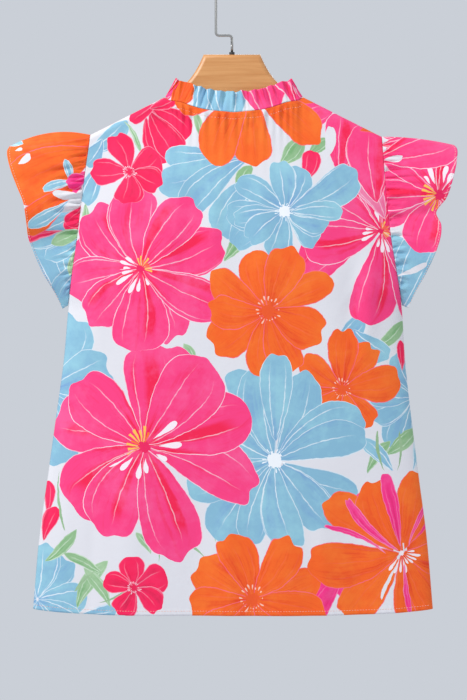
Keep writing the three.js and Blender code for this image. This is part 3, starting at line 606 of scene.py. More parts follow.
SLEEVE_PRINT = [
    *blades(BLUE, 0.42, (80, 318, 36, 240, 22, -4), (84, 314, 62, 236, 14, 3), (96, 256, 58, 304, 14, 3)),
    Blade(88, 236, 46, 258, 9, -2, BLUE, 0.45),
    *blades(BLUE, 0.5, (86, 212, 22, 240, 16, -3), (88, 178, 30, 202, 14, 2)),
    Blade(86, 206, 48, 198, 7, 1, GROUND, 0.6), Blade(90, 172, 66, 196, 9, 2, MAGENTA, 0.5),
    *blades(CRIMSON, 0.5, (86, 204, 70, 234, 11, -2), (64, 231, 24, 242, 4, 1)),
    *blades(LEAF, 0.9, (86, 232, 52, 244, 8, 1), (78, 250, 70, 276, 4, 1)),
    *blades(ORANGE, 0.4, (106, 134, -4, 150, 28, -2), (98, 150, 12, 194, 26, 2)),
    Blade(76, 184, 22, 232, 14, -2, ORANGE, 0.42),
    *blades(GROUND, 0.5, (20, 166, 32, 155, 4, 1), (16, 152, 24, 150, 1.6, 0)),
    Blade(72, 182, 66, 160, 5, 1, BLUE, 0.9), Blade(78, 182, 44, 192, 5, 2, BLUE, 0.6),
    Blade(90, 178, 68, 186, 8, 1, MAGENTA, 0.5), Blade(84, 198, 54, 194, 5, -1, GROUND, 0.7),
    Blade(70, 202, 30, 228, 7, -2, BLUE, 0.6), Blade(86, 206, 68, 226, 9, -2, CRIMSON, 0.5),
    Blade(2, 143, 24, 144, 3.5, 0, BLUE, 0.5),
    *blades(BLUE, 0.42, (404, 316, 390, 236, 16, 3), (398, 316, 428, 232, 20, -3)),
    Blade(396, 276, 426, 264, 3, 1, GROUND, 0.5),
    Bloom(437, 197, 10, 68, 100, 0.29, PINK, STAMENS, 25, 0.08, 160, 24, 205),
    Blade(380, 146, 424, 140, 9, 0, PINK, 0.42), Blade(376, 160, 458, 138, 22, 2, PINK, 0.4),
    Blade(384, 160, 402, 158, 4, 1, GROUND, 0.7),
]


def moved(rows, across, down, top=96, bottom=624):
    """The same rows further along the cloth, which repeats from the bottom of the chart to its top."""
    for row in rows:
        by = (row.down - top + down) % (bottom - top) + top - row.down
        changed = row._replace(across=row.across + across, down=row.down + by)
        if isinstance(row, Blade):
            changed = changed._replace(to_across=row.to_across + across, to_down=row.to_down + by)
        yield changed


FRILL_PRINT = [
    Blade(166, -4, 168, -60, 12, 2, PINK, 0.5), Blade(183, -2, 186, -58, 14, 2, ORANGE, 0.5),
    *blades(BLUE, 0.5, (206, -2, 205, -60, 15, 3), (232, 0, 230, -62, 20, -3)),
    *blades(PINK, 0.5, (262, -2, 258, -62, 22, 3), (292, -2, 292, -60, 18, 2)),
    Blade(144, -2, 140, -60, 18, 2, ORANGE, 0.5), Blade(118, 0, 120, -62, 20, -3, PINK, 0.5),
    Blade(92, -2, 94, -62, 18, 2, BLUE, 0.5), Blade(68, -2, 70, -60, 14, 2, ORANGE, 0.5),
    Blade(40, 0, 42, -62, 20, 3, PINK, 0.5),
]


def turned_over(rows, line):
    """The same rows mirrored in a level line of the chart."""
    for row in rows:
        if isinstance(row, Blade):
            yield row._replace(down=2 * line - row.down, to_down=2 * line - row.to_down, bend=-row.bend)
        else:
            yield row._replace(down=2 * line - row.down, turn=-row.turn, lean_to=-row.lean_to, tuft=-row.tuft)


# How uneven the painted petals are, as shares of their size, and how far they stray in degrees
PETAL_STRAYS = 9
PETAL_REACHES = (0.88, 1.07)
PETAL_WIDTHS = (0.82, 1.16)
PETAL_BENDS = 0.11
PETAL_TOOTH = 0.085
PETAL_TIP = (0.4, 0.58)
PETAL_ROOT = 0.02
BLADE_TOOTH = 0.05


def painted(rows, shift, rank):
    """The petals and the flower hearts of some rows of the chart, each above the one before."""
    petals, hearts = [], []
    for row in rows:
        if isinstance(row, Blade):
            rank += 1
            hand = random.Random(int(row.across * 7 + row.down * 13))
            base, tip = on_chart(row.across, row.down, shift), on_chart(row.to_across, row.to_down, shift)
            tooth = hand.uniform(0.0, BLADE_TOOTH)
            petals.append(Petal(base, tip, row.width * SQUARE, row.bend * SQUARE, tooth,
                                row.tip, row.colour, hand.random(), rank))
            continue
        hand = random.Random(row.seed)
        centre = on_chart(row.across, row.down, shift)
        order = list(range(row.petals))
        hand.shuffle(order)
        for k in order:
            rank += 1
            degrees = row.turn - 360 * k / row.petals + hand.uniform(-PETAL_STRAYS, PETAL_STRAYS)
            towards = math.cos(math.radians(degrees - row.lean_to))
            reach = row.reach * SQUARE * (1 + row.lean * towards) * hand.uniform(*PETAL_REACHES)
            way = Vector((math.cos(math.radians(degrees)), math.sin(math.radians(degrees))))
            width = row.fat * row.reach * SQUARE * hand.uniform(*PETAL_WIDTHS)
            bend = hand.uniform(-PETAL_BENDS, PETAL_BENDS) * reach
            petals.append(Petal(centre + way * reach * PETAL_ROOT, centre + way * reach, width, bend,
                                hand.uniform(0.0, PETAL_TOOTH), hand.uniform(*PETAL_TIP), row.colour,
                                hand.random(), rank))
        if row.heart != NO_HEART:
            hearts.append((centre, row.heart_size * SQUARE, row.heart, (row.tuft / 360) % 1, rank))
    return petals, hearts


FRONT_CUT_DOWN = 262


def chart():
    """Every petal and heart of the chart. The front is cut from the same print further down the cloth."""
    front = FRONT_PRINT + list(moved(BACK_PRINT, 0, FRONT_CUT_DOWN))
    crown = CHART_TOP - SLEEVE_CROWN / SQUARE
    sleeve_fronts = list(turned_over(SLEEVE_PRINT, crown))
    petals, hearts = [], []
    for rows, shift in ((BACK_PRINT, 0.0), (front, FRONT_ON_CHART),
                        (sleeve_fronts + SLEEVE_PRINT, SLEEVE_ON_CHART), (FRILL_PRINT, FRILL_ON_CHART)):
        more_petals, more_hearts = painted(rows, shift, len(petals))
        petals += more_petals
        hearts += more_hearts
    return petals, hearts


# Each face of the cloth carries the few petals that reach it, lowest first, and one flower heart
LAYERS = 7
FAR_AWAY = 1e5
petals, hearts = chart()
bucket_of = {}
for one in petals:
    for i in range(math.floor(one.low.x / BUCKET), math.floor(one.high.x / BUCKET) + 1):
        for j in range(math.floor(one.low.y / BUCKET), math.floor(one.high.y / BUCKET) + 1):
            bucket_of.setdefault((i, j), []).insert(0, one)
LAYER_PARTS = ("place", "way", "size", "paint")
NO_LAYER = ((FAR_AWAY, FAR_AWAY, 0), (1, 0, 0), (1, 1, 0.5), (0, 0, -1))


def layers_at(x, y, margin):
    found = []
    for petal in bucket_of.get((math.floor(x / BUCKET), math.floor(y / BUCKET)), ()):
        meets, hides = petal.meets(x, y, margin)
        if meets:
            found.insert(0, (
                (petal.base.x, petal.base.y, petal.bend / petal.width),
                (petal.way.x / petal.length, petal.way.y / petal.length, petal.tooth),
                (petal.length, petal.width, petal.tip_power),
                (petal.colour, petal.seed, petal.rank),
            ))
        if hides or len(found) == LAYERS:
            break
    return found + [NO_LAYER] * (LAYERS - len(found))


HEART_REACH = 1.65


def heart_at(x, y, margin):
    best = ((FAR_AWAY, FAR_AWAY, 1.0), (0, 0, -1))
    for centre, size, kind, tuft, rank in hearts:
        reach = size * HEART_REACH + margin
        if abs(x - centre.x) < reach and abs(y - centre.y) < reach:
            best = ((centre.x, centre.y, size), (kind, tuft, rank))
    return best


PRINT_MARGIN = 2.2


def lay_print(mesh):
    """Writes the petals and the heart that reach each face of a mesh, from its place on the cloth."""
    uv = mesh.uv_layers["cloth"].data
    columns = {f"{part}_{n}": [] for n in range(LAYERS) for part in LAYER_PARTS}
    columns.update(heart_place=[], heart_paint=[])
    for face in mesh.polygons:
        corners = [uv[i].uv for i in face.loop_indices]
        x = sum(c.x for c in corners) / len(corners)
        y = sum(c.y for c in corners) / len(corners)
        margin = max(math.hypot(c.x - x, c.y - y) for c in corners) + PRINT_MARGIN
        for n, layer in enumerate(layers_at(x, y, margin)):
            for part, values in zip(LAYER_PARTS, layer):
                columns[f"{part}_{n}"].extend(values)
        place, paint = heart_at(x, y, margin)
        columns["heart_place"].extend(place)
        columns["heart_paint"].extend(paint)
    for name, values in columns.items():
        mesh.attributes.new(name, "FLOAT_VECTOR", "FACE").data.foreach_set("vector", values)


def cloth_piece(name, columns, rows, place, closed, outward):
    """A shell of cloth: a grid of columns by rows whose points lie where place(column, row) says.
    outward(point) is about the direction that the cloth's right side faces there."""
    bm = bmesh.new()
    bmesh.ops.create_grid(bm, x_segments=len(columns) - 1, y_segments=len(rows) - 1, size=0.5)
    cloth = bm.loops.layers.uv.new("cloth")
    laid = {}
    for vertex in bm.verts:
        i = round((vertex.co.x + 0.5) * (len(columns) - 1))
        j = round((vertex.co.y + 0.5) * (len(rows) - 1))
        point, on_cloth = place(columns[i], rows[j])
        if closed and i == len(columns) - 1:
            point, _ = place(columns[0], rows[j])
        laid[vertex] = on_cloth
        vertex.co = point * MM
    for face in bm.faces:
        for loop in face.loops:
            loop[cloth].uv = laid[loop.vert]
        face.smooth = True
    bm.normal_update()
    facing = sum(face.normal.dot(outward(face.calc_center_median())) for face in bm.faces)
    if facing < 0:
        bmesh.ops.reverse_faces(bm, faces=bm.faces)
    if closed:
        bmesh.ops.remove_doubles(bm, verts=bm.verts, dist=1e-6)
    mesh = bpy.data.meshes.new(name)
    bm.to_mesh(mesh)
    bm.free()
    lay_print(mesh)
    mesh.materials.append(right_side)
    mesh.materials.append(wrong_side)
    piece = bpy.data.objects.new(name, mesh)
    bpy.context.collection.objects.link(piece)
    wall = piece.modifiers.new("cloth", "SOLIDIFY")
    wall.thickness = SHELL * MM
    wall.offset = 0
    wall.material_offset = 1
    wall.use_even_offset = True
    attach(piece, "root")
    return piece


class Value:
    """A socket of a material's node. Arithmetic on it adds Math nodes."""

    def __init__(self, finish, socket):
        self.finish, self.socket = finish, socket

    def math(self, operation, *values):
        return self.finish.node("ShaderNodeMath", {"operation": operation}, dict(enumerate(values)))

    def __add__(self, other):
        return self.math("ADD", self, other)

    def __sub__(self, other):
        return self.math("SUBTRACT", self, other)

    def __rsub__(self, other):
        return self.math("SUBTRACT", other, self)

    def __mul__(self, other):
        return self.math("MULTIPLY", self, other)

    def __truediv__(self, other):
        return self.math("DIVIDE", self, other)

    def __pow__(self, other):
        return self.math("POWER", self, other)

    def __gt__(self, other):
        return self.math("GREATER_THAN", self, other)

    def __lt__(self, other):
        return self.math("LESS_THAN", self, other)

    __radd__ = __add__
    __rmul__ = __mul__

    def most(self, other):
        return self.math("MAXIMUM", self, other)

    def least(self, other):
        return self.math("MINIMUM", self, other)

    def size(self):
        return self.math("ABSOLUTE", self)

    def sine(self):
        return self.math("SINE", self)

    def root(self):
        return self.math("SQRT", self)

    def whole(self):
        return self.math("FLOOR", self)

    def rest(self):
        return self.math("FRACT", self)

    def held(self):
        return self.least(1.0).most(0.0)

    def rise(self, start, end):
        """0 below start and 1 above end, eased between."""
        settings = {"interpolation_type": "SMOOTHSTEP"}
        return self.finish.node("ShaderNodeMapRange", settings, {0: self, 1: start, 2: end})


def dye(colour):
    """A colour written as six hexadecimal digits, as the light values that Blender works in."""
    parts = [int(colour[i:i + 2], 16) / 255 for i in (0, 2, 4)]
    return tuple(p / 12.92 if p <= 0.04045 else ((p + 0.055) / 1.055) ** 2.4 for p in parts) + (1.0,)


class Finish:
    """A material, made node by node."""

    def __init__(self, name, **settings):
        self.material = bpy.data.materials.new(name)
        self.material.use_nodes = True
        self.tree = self.material.node_tree
        self.surface = self.tree.nodes["Principled BSDF"]
        for socket, value in settings.items():
            self.surface.inputs[socket.replace("_", " ").title()].default_value = value

    def node(self, kind, settings=None, sockets=None, output=0):
        made = self.tree.nodes.new(kind)
        for key, value in (settings or {}).items():
            if key == "steps":
                self.set_steps(made.color_ramp, value)
            else:
                setattr(made, key, value)
        for key, value in (sockets or {}).items():
            if isinstance(value, Value):
                self.tree.links.new(value.socket, made.inputs[key])
            else:
                made.inputs[key].default_value = value
        return Value(self, made.outputs[output])

    @staticmethod
    def set_steps(ramp, rows):
        ramp.interpolation = "CONSTANT"
        while len(ramp.elements) < len(rows):
            ramp.elements.new(1.0)
        for element, (position, colour) in zip(ramp.elements, rows):
            element.position, element.color = position, colour

    def attribute(self, name):
        return self.node("ShaderNodeAttribute", {"attribute_name": name}, output="Vector")

    def parts(self, vector):
        made = self.tree.nodes.new("ShaderNodeSeparateXYZ")
        self.tree.links.new(vector.socket, made.inputs[0])
        return [Value(self, output) for output in made.outputs]

    def vector(self, x, y, z=0.0):
        return self.node("ShaderNodeCombineXYZ", None, {0: x, 1: y, 2: z})

    def shifted(self, operation, a, b):
        return self.node("ShaderNodeVectorMath", {"operation": operation}, {0: a, 1: b})

    def pick(self, mask, below, above):
        """One vector where the mask is 0 and the other where it is 1."""
        return self.node("ShaderNodeMix", {"data_type": "VECTOR"}, {0: mask, 4: below, 5: above}, output=1)

    def blend(self, mask, below, above):
        return self.node("ShaderNodeMix", {"data_type": "RGBA"}, {0: mask, 6: below, 7: above}, output=2)

    def noise(self, place, scale, detail=2.0, rough=0.5, output=0):
        sockets = {"Vector": place, "Scale": scale, "Detail": detail, "Roughness": rough}
        return self.node("ShaderNodeTexNoise", None, sockets, output=output)

    def lookup(self, place, count, colours):
        """The colour or the grey of a numbered row of a list."""
        rows = [(i / count, c if isinstance(c, tuple) else (c, c, c, 1)) for i, c in enumerate(colours)]
        return self.node("ShaderNodeValToRGB", {"steps": rows}, {0: (place + 0.5) / count})

    def link(self, socket, value):
        self.tree.links.new(value.socket, self.surface.inputs[socket])

    def bump(self, height, strength, distance, below=None):
        sockets = {"Strength": strength, "Distance": distance, "Height": height}
        if below is not None:
            sockets["Normal"] = below
        return self.node("ShaderNodeBump", None, sockets)


# The paints, in the order of the palette: white ground, pink, crimson, orange, blue, leaf green,
# magenta, stem green, rose; then how strongly each shows its line, veins, streaks, strokes and hairs
PAINTS = {
    "main": ("e3e1e5", "fd3980", "fb0a54", "fa620f", "86b8d0", "8fb987", "fb2a86", "8fb487", "f2729f"),
    "deep": ("d6d9df", "f70d4c", "cf0043", "e83c06", "7099cc", "67a664", "e40f6a", "79a86f", "ee4784"),
    "pale": ("ecebed", "fd5e9a", "fd2a66", "fd7b20", "9dd2de", "b2d0a8", "fd62a4", "b0cda4", "f69cbc"),
    "edge": ("e6e4e8", "fbe0ea", "fabfd2", "fd6c96", "e8f0f4", "dcebd6", "ffa4cc", "b0cda4", "fbe2ec"),
}
EDGE_SHOWS = (0, 0.95, 0.6, 0.8, 0.8, 0.4, 0.6, 0, 0.8)
VEINS_SHOW = (0, 0.6, 0.3, 0.1, 0.85, 0.6, 0.3, 0, 0.5)
STREAKS_SHOW = (0, 1.0, 0.6, 0.45, 0.5, 0.7, 0.6, 0, 0.6)
VEINS_COUNT = (1, 1.2, 1.0, 1.5, 1.0, 1.0, 1.0, 1.0, 1.0)
VEINS_COUNT_TOP = 2.0
DEEP_SHOWS = (0.1, 1.0, 0.8, 0.75, 0.55, 0.8, 0.7, 0.4, 0.4)
HAIRS_SHOW = (0, 0.35, 0.4, 1.0, 0.3, 0.4, 0.5, 0, 0)

# Painted places are shifted by up to WARP millimetres, and the weave repeats in WEAVE_REPEAT of them.
# Scales count per millimetre of cloth, and the two heights are in metres.
WARP = 2.4
WARP_SCALE = 0.055
WASH_SCALE = 0.022
BLOT_SCALE = 0.09
CRUMPLE_SCALE = 0.05
CRUMPLE_HEIGHT = 0.0012
WEAVE_HEIGHT = 0.00006
WEAVE_REPEAT = 0.42
NOTCHES = 6.5

# Brush strokes and fine hairs of colour: how dense they are across a petal and along it
STRANDS = (3.4, 1.3)
HAIRS = (15, 1.6)

# Where a streak, a vein and the edge's line start to thin out, and where they end
STREAK_WIDE = (0.1, 0.26)
VEIN_WIDE = (0.2, 1.0)
LINE_WIDE = (0.35, 1.35)

STAMEN_WIDE = 0.26
STAMEN_ORANGE = "ff7a1e"
STAMEN_YELLOW = "ffc356"
WRONG_SIDE = "f4f1f2"

HEART_FILL = ("ffffff", "f0145c", "f2561a", "f2f5f8", "fbeef0", "ee0a50")
HEART_DASH = ("ffffff", "fbf1f6", "ffc9b4", "f4fafd", "fbeef2", "ffd3e0")
# By the heart's kind: its filled disc, where its dashes start and end, how wide they are, how far round
# from the tuft they begin and how much of their ring stays empty, and how far round the stamens go
HEART_DISC = (0, 0.22, 0.5, 0.85, 0.2, 0.3)
HEART_FROM = (0, 0.42, 0.62, 0.7, 0.3, 0.35)
HEART_TO = (0, 1.6, 1.15, 1.5, 1.6, 1.0)
HEART_TO_TOP = 2.0
HEART_WIDE = (0, 0.34, 0.2, 0.2, 0.3, 0.25)
HEART_ROUND = (0, 0.42, 0, 0, 0.55, 0)
HEART_EMPTY = (1, 0.3, 0.1, 0.5, 0.2, 0.35)
HEART_TUFT = (0, 0.4, 0, 0, 0, 0)
HEART_RAYS = 21


def unsteady(cloth, place):
    """The place on the cloth, shifted a little, so that painted edges aren't quite true."""
    shift = cloth.noise(place, WARP_SCALE, 3.0, 0.55, output=1)
    shift = cloth.shifted("SUBTRACT", shift, (0.5, 0.5, 0.5))
    shift = cloth.shifted("MULTIPLY", shift, (WARP * 2, WARP * 2, 0))
    return cloth.shifted("ADD", place, shift)


def top_petal(cloth, place):
    """The uppermost petal at a place, as three vectors: where in it the place is and how wide the
    petal is there, its size, and its paint."""
    shape, size, paint = (0.0, 0.0, 0.0), (1.0, 1.0, 0.5), (0.0, 0.0, -1.0)
    for n in range(LAYERS):
        dx, dy, bend = cloth.parts(cloth.shifted("SUBTRACT", place, cloth.attribute(f"place_{n}")))
        way_x, way_y, tooth = cloth.parts(cloth.attribute(f"way_{n}"))
        this_size = cloth.attribute(f"size_{n}")
        this_paint = cloth.attribute(f"paint_{n}")
        length, width, tip_power = cloth.parts(this_size)
        _, seed, _ = cloth.parts(this_paint)
        along = dx * way_x + dy * way_y
        across = (dx * way_y - dy * way_x) * (length / width) + bend * along * (1 - along) * 4
        notch = (across * NOTCHES + seed * 40).sine() * 0.5 + 0.5
        toothed = (along * (1 + tooth * notch)).most(0.0)
        narrowing = (1 - toothed ** PETAL_CUBE).most(0.0) ** tip_power
        width_here = PETAL_SCALE * toothed ** PETAL_GROWS * narrowing
        on_petal = width_here > across.size()
        shape = cloth.pick(on_petal, shape, cloth.vector(across, toothed, width_here))
        size = cloth.pick(on_petal, size, this_size)
        paint = cloth.pick(on_petal, paint, this_paint)
    return shape, size, paint


def petal_look(cloth, place, shape, size, paint):
    """The paint of the uppermost petal or of the bare ground, with its streaks, its wash, its veins
    and the line along its edge."""
    across, along, width_here = cloth.parts(shape)
    _, width, _ = cloth.parts(size)
    colour, seed, rank = cloth.parts(paint)
    fan = across / width_here.most(0.1)
    to_edge = (width_here - across.size()) * width
    looks = {name: cloth.lookup(colour, PALETTES, [dye(c) for c in row]) for name, row in PAINTS.items()}
    edge_shows, veins_show, deep_shows, hairs_show, streaks_show = (
        cloth.lookup(colour, PALETTES, row)
        for row in (EDGE_SHOWS, VEINS_SHOW, DEEP_SHOWS, HAIRS_SHOW, STREAKS_SHOW))
    veins_count = cloth.lookup(colour, PALETTES, [n / VEINS_COUNT_TOP for n in VEINS_COUNT]) * VEINS_COUNT_TOP

    brushed = cloth.vector(fan * STRANDS[0] + seed * 71, along * STRANDS[1] + seed * 37, colour)
    brushed_finely = cloth.vector(fan * HAIRS[0] + seed * 53, along * HAIRS[1] + seed * 17, colour)
    strands = cloth.noise(brushed, 1.0, 4.0, 0.62)
    hairs = cloth.noise(brushed_finely, 1.0, 2.0, 0.5)
    wash = cloth.noise(place, WASH_SCALE, 4.0, 0.6)
    blot = cloth.noise(place, BLOT_SCALE, 3.0, 0.6)
    towards_base = (1 - along * 1.08).held()
    deep = ((strands - 0.56) * 8.0 + towards_base * 0.5).held() * (towards_base * 0.6 + 0.4)
    deep = deep + (hairs - 0.54).most(0.0) * 7.0 * hairs_show * (towards_base * 0.7 + 0.3)
    deep = deep + (0.3 - along).most(0.0) * 1.6
    streak_side = (seed * 13).rest() * 1.5 - 0.75
    streak = 1 - (fan - streak_side).size().rise(*STREAK_WIDE)
    streak = streak * (0.8 - along + strands * 0.2).rise(0.0, 0.2) * ((seed * 7).rest() > 0.3)
    deep = deep + streak * streaks_show
    look = cloth.blend((deep * deep_shows).held(), looks["main"], looks["deep"])
    light = (wash - 0.46) * 3.4 + (blot - 0.5) * 1.3 + (seed * 17).rest() * 0.5 + along * 0.2 - 0.25
    look = cloth.blend(light.held() * 0.7 * (rank > -0.5), look, looks["pale"])
    rays = (fan * veins_count + seed * 3).rest() - 0.5
    vein = 1 - (rays.size() * width_here * width / veins_count).rise(*VEIN_WIDE)
    vein = vein * (0.94 - along).rise(0.0, 0.35) * (blot * 3.4 - 0.75).held() * along.rise(0.03, 0.12)
    look = cloth.blend(vein * veins_show, look, looks["edge"])
    line = 1 - to_edge.rise(*LINE_WIDE)
    return cloth.blend(line * edge_shows * (wash * 3.0 - 0.5).held(), look, looks["edge"])


def with_hearts(cloth, place, paint, look):
    """The look with the hearts of the flowers on it, where no later petal lies over them: a disc, a
    ring of dashes, and a tuft of stamens on one side."""
    _, _, rank = cloth.parts(paint)
    heart_x, heart_y, heart_size = cloth.parts(cloth.attribute("heart_place"))
    kind, tuft, heart_rank = cloth.parts(cloth.attribute("heart_paint"))
    x, y, _ = cloth.parts(place)
    dx, dy = x - heart_x, y - heart_y
    out = (dx * dx + dy * dy).root() / heart_size
    turns = dy.math("ARCTAN2", dy, dx) * (0.5 / math.pi)
    from_tuft = turns - tuft + 1.5
    around = (turns.math("FLOORED_MODULO", from_tuft, 1.0) - 0.5).size() * 2
    angle = turns * HEART_RAYS + tuft * 9 + HEART_RAYS
    chance, other = (
        cloth.node("ShaderNodeTexWhiteNoise", {"noise_dimensions": "3D"},
                   {0: cloth.vector(angle.whole() + apart, kind, tuft)})
        for apart in (0, 77))
    disc, dash_from, dash_to, dash_wide, dash_round, empty, tuft_round = (
        cloth.lookup(kind, HEARTS, row)
        for row in (HEART_DISC, HEART_FROM, [n / HEART_TO_TOP for n in HEART_TO], HEART_WIDE, HEART_ROUND,
                    HEART_EMPTY, HEART_TUFT))
    fill, dash_colour = (
        cloth.lookup(kind, HEARTS, [dye(c) for c in row]) for row in (HEART_FILL, HEART_DASH))
    top = (heart_rank > rank - 0.5) * (kind > 0.5)
    beside = (angle.rest() - 0.5).size()
    starts = dash_from + chance * 0.16
    ends = dash_to * HEART_TO_TOP * (1 - other * 0.4)
    progress = ((out - starts) / (ends - starts).most(0.05)).held() ** 1.6
    dash = (beside < dash_wide * (progress * (1 - progress) * 4).root())
    dash = dash * (around > dash_round) * ((chance * 7).rest() > empty)
    stamen = (beside < STAMEN_WIDE) * (around < tuft_round)
    stamen = stamen * (out > 0.12 + other * 0.1) * (out < 0.45 + chance * 0.3)
    look = cloth.blend((out < disc * (0.8 + 0.4 * other)) * top, look, fill)
    stamen_colour = cloth.blend(chance > 0.45, dye(STAMEN_ORANGE), dye(STAMEN_YELLOW))
    look = cloth.blend(stamen * top, look, stamen_colour)
    return cloth.blend(dash * top * 0.95, look, dash_colour)


def woven(cloth, place):
    """The normal of the plain weave, with a soft crumple over it."""
    threads = cloth.node("ShaderNodeVectorMath", {"operation": "SCALE"},
                         {0: place, "Scale": 2 * math.pi / WEAVE_REPEAT})
    warp, weft, _ = cloth.parts(threads)
    weave = warp.sine() * weft.sine() * 0.5 + (warp * 0.5 + weft * 0.5).sine() * 0.2
    fine = cloth.bump(weave, 0.25, WEAVE_HEIGHT)
    return cloth.bump(cloth.noise(place, CRUMPLE_SCALE, 5.0, 0.55), 0.35, CRUMPLE_HEIGHT, fine)


def printed_cloth(name, fade):
    """The printed cloth. fade is how much paler its print shows, as on its wrong side."""
    cloth = Finish(name, roughness=0.78, sheen_weight=0.04, sheen_roughness=0.5)
    place = cloth.node("ShaderNodeUVMap", {"uv_map": "cloth"})
    painted_place = unsteady(cloth, place)
    shape, size, paint = top_petal(cloth, painted_place)
    look = with_hearts(cloth, painted_place, paint, petal_look(cloth, painted_place, shape, size, paint))
    if fade:
        look = cloth.blend(fade, look, dye(WRONG_SIDE))
    cloth.link("Base Color", look)
    cloth.link("Normal", woven(cloth, place))
    return cloth.material


right_side = printed_cloth("printed cloth", 0.0)
wrong_side = printed_cloth("printed cloth, wrong side", 0.45)


def steps(start, end, count):
    return [start + (end - start) * i / count for i in range(count + 1)]


def away_from_middle(sign):
    return lambda point: Vector((0, sign, 0))


def panel_place(face):
    return lambda across, down: body_point(face, across, down)


def sleeve_place(side):
    return lambda round_, out: sleeve_point(side, round_, out)


def away_from_neck(point):
    return point - Vector((SHOULDER_CENTRE * MM, 0, point.z))


# The grids of the cloth pieces. A panel's columns lie closer together towards its sides.
PANEL_CLOSER = 0.35
PANEL_COLUMNS = [math.sin(math.pi / 2 * t) * PANEL_CLOSER + t * (1 - PANEL_CLOSER)
                 for t in steps(-1, 1, 232)]
PANEL_ROWS = (steps(0, 0.12, 22)[:-1] + steps(0.12, 0.4, 22)[:-1] + steps(0.4, 1, 30)[:-1]
              + steps(1, 1.93, 36)[:-1] + steps(1.93, 2, 11))
SLEEVE_ROUNDS = steps(0, 0.5, 210) + steps(0.5, 1, 210)[1:]
SLEEVE_ROWS = steps(0, 0.12, 9)[:-1] + steps(0.12, 0.9, 22)[:-1] + steps(0.9, 1, 9)
FRILL_ROUNDS = steps(0, 1, 680)
FRILL_ROWS = steps(0, 1, 16)
panels = {
    face: cloth_piece(f"{face}_panel_cloth", PANEL_COLUMNS, PANEL_ROWS, panel_place(face), False,
                      away_from_middle(SIGN[face]))
    for face in SIGN
}
sleeves = {
    side: cloth_piece(f"sleeve_{side}_cloth", SLEEVE_ROUNDS, SLEEVE_ROWS, sleeve_place(side), True,
                      lambda point: Vector((0, point.y, 0.02)))
    for side in SLEEVE_SIGN
}
frill = cloth_piece("neck_frill_cloth", FRILL_ROUNDS, FRILL_ROWS, frill_point, True, away_from_neck)
# The frill turns too sharply at its ends for an even wall, which would throw spikes there
frill.modifiers["cloth"].use_even_offset = False


def finished(name, bm, finish):
    """A piece made from a bmesh, with its material."""
    mesh = bpy.data.meshes.new(name)
    bm.to_mesh(mesh)
    bm.free()
    mesh.materials.append(finish)
    piece = bpy.data.objects.new(name, mesh)
    bpy.context.collection.objects.link(piece)
    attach(piece, "root")
    return piece


# Stitches: a thread along the neck band, the hem and each sleeve's hem
STITCH = 2.6
STITCH_GAP = 0.9
STITCH_WIDE = 0.6
STITCH_HIGH = 0.5
STITCH_SAMPLE = 1.2
STITCH_LOT = 600
STITCH_REACH = 1e-3
SLEEVE_STITCH_AT = 0.968
NECK_STITCH_ENDS = 0.46
NECK_STITCH_ABOVE = 0.4
HEM_STITCH_INSIDE = 1.2
HEM_STITCH_ENDS = 0.99
SLEEVE_STITCH_ENDS = (0.012, 0.988)
THREAD_COLOURS = ("f6d5c8", "ffb39a")


def thread_finish():
    thread = Finish("pale thread", roughness=0.6)
    place = thread.node("ShaderNodeTexCoord", output="Object")
    thread.link("Base Color", thread.blend(thread.noise(place, 90.0), *(dye(c) for c in THREAD_COLOURS)))
    return thread.material


def sampled(place, facing, run_across, start, end):
    """Points and outward directions along place(t, run_across(t)), close enough to lay stitches on."""
    points, t = [], start
    while t < end:
        down = run_across(t)
        point = place(t, down)[0]
        sideways = place(t + STITCH_REACH, down)[0] - point
        outward = sideways.cross(place(t, down + STITCH_REACH)[0] - point).normalized() * facing
        points.append((point, outward))
        t += STITCH_REACH * STITCH_SAMPLE / max(sideways.length, 0.05)
    return points


def sew(bm, points):
    """Small stitches along a line, each a flattened bead of thread, made in lots that stay small."""
    lot, held = bmesh.new(), bpy.data.meshes.new("lot")
    travelled, next_at = 0.0, 0.0
    for (here, outward), (there, _) in zip(points, points[1:]):
        travelled += (there - here).length
        if travelled < next_at:
            continue
        next_at = travelled + STITCH + STITCH_GAP
        way = (there - here).normalized()
        side = outward.cross(way).normalized()
        shape = Matrix((way * STITCH, side * STITCH_WIDE, outward * STITCH_HIGH)).transposed().to_4x4()
        middle = here + outward * (SHELL / 2 + STITCH_HIGH * 0.15)
        bmesh.ops.create_uvsphere(lot, u_segments=6, v_segments=4, radius=0.5 * MM,
                                  matrix=Matrix.Translation(middle * MM) @ shape)
        if len(lot.verts) > STITCH_LOT:
            lot.to_mesh(held)
            bm.from_mesh(held)
            lot.clear()
    lot.to_mesh(held)
    bm.from_mesh(held)
    lot.free()
    bpy.data.meshes.remove(held)


def neck_stitch(face):
    return lambda across: (NECK_BAND - NECK_STITCH_ABOVE) / top_run(face, across)[5]


def hem_stitch(across):
    return 2 - (HEM_DEPTH - HEM_STITCH_INSIDE) / (UNDERARM - hem_level(across))


bm = bmesh.new()
for face in SIGN:
    place = panel_place(face)
    sew(bm, sampled(place, SIGN[face], neck_stitch(face), -NECK_STITCH_ENDS, NECK_STITCH_ENDS))
    sew(bm, sampled(place, SIGN[face], hem_stitch, -HEM_STITCH_ENDS, HEM_STITCH_ENDS))
for side, outwards in SLEEVE_SIGN.items():
    sew(bm, sampled(sleeve_place(side), -outwards, lambda t: SLEEVE_STITCH_AT, *SLEEVE_STITCH_ENDS))
for face in bm.faces:
    face.smooth = True
stitches = finished("stitches", bm, thread_finish())


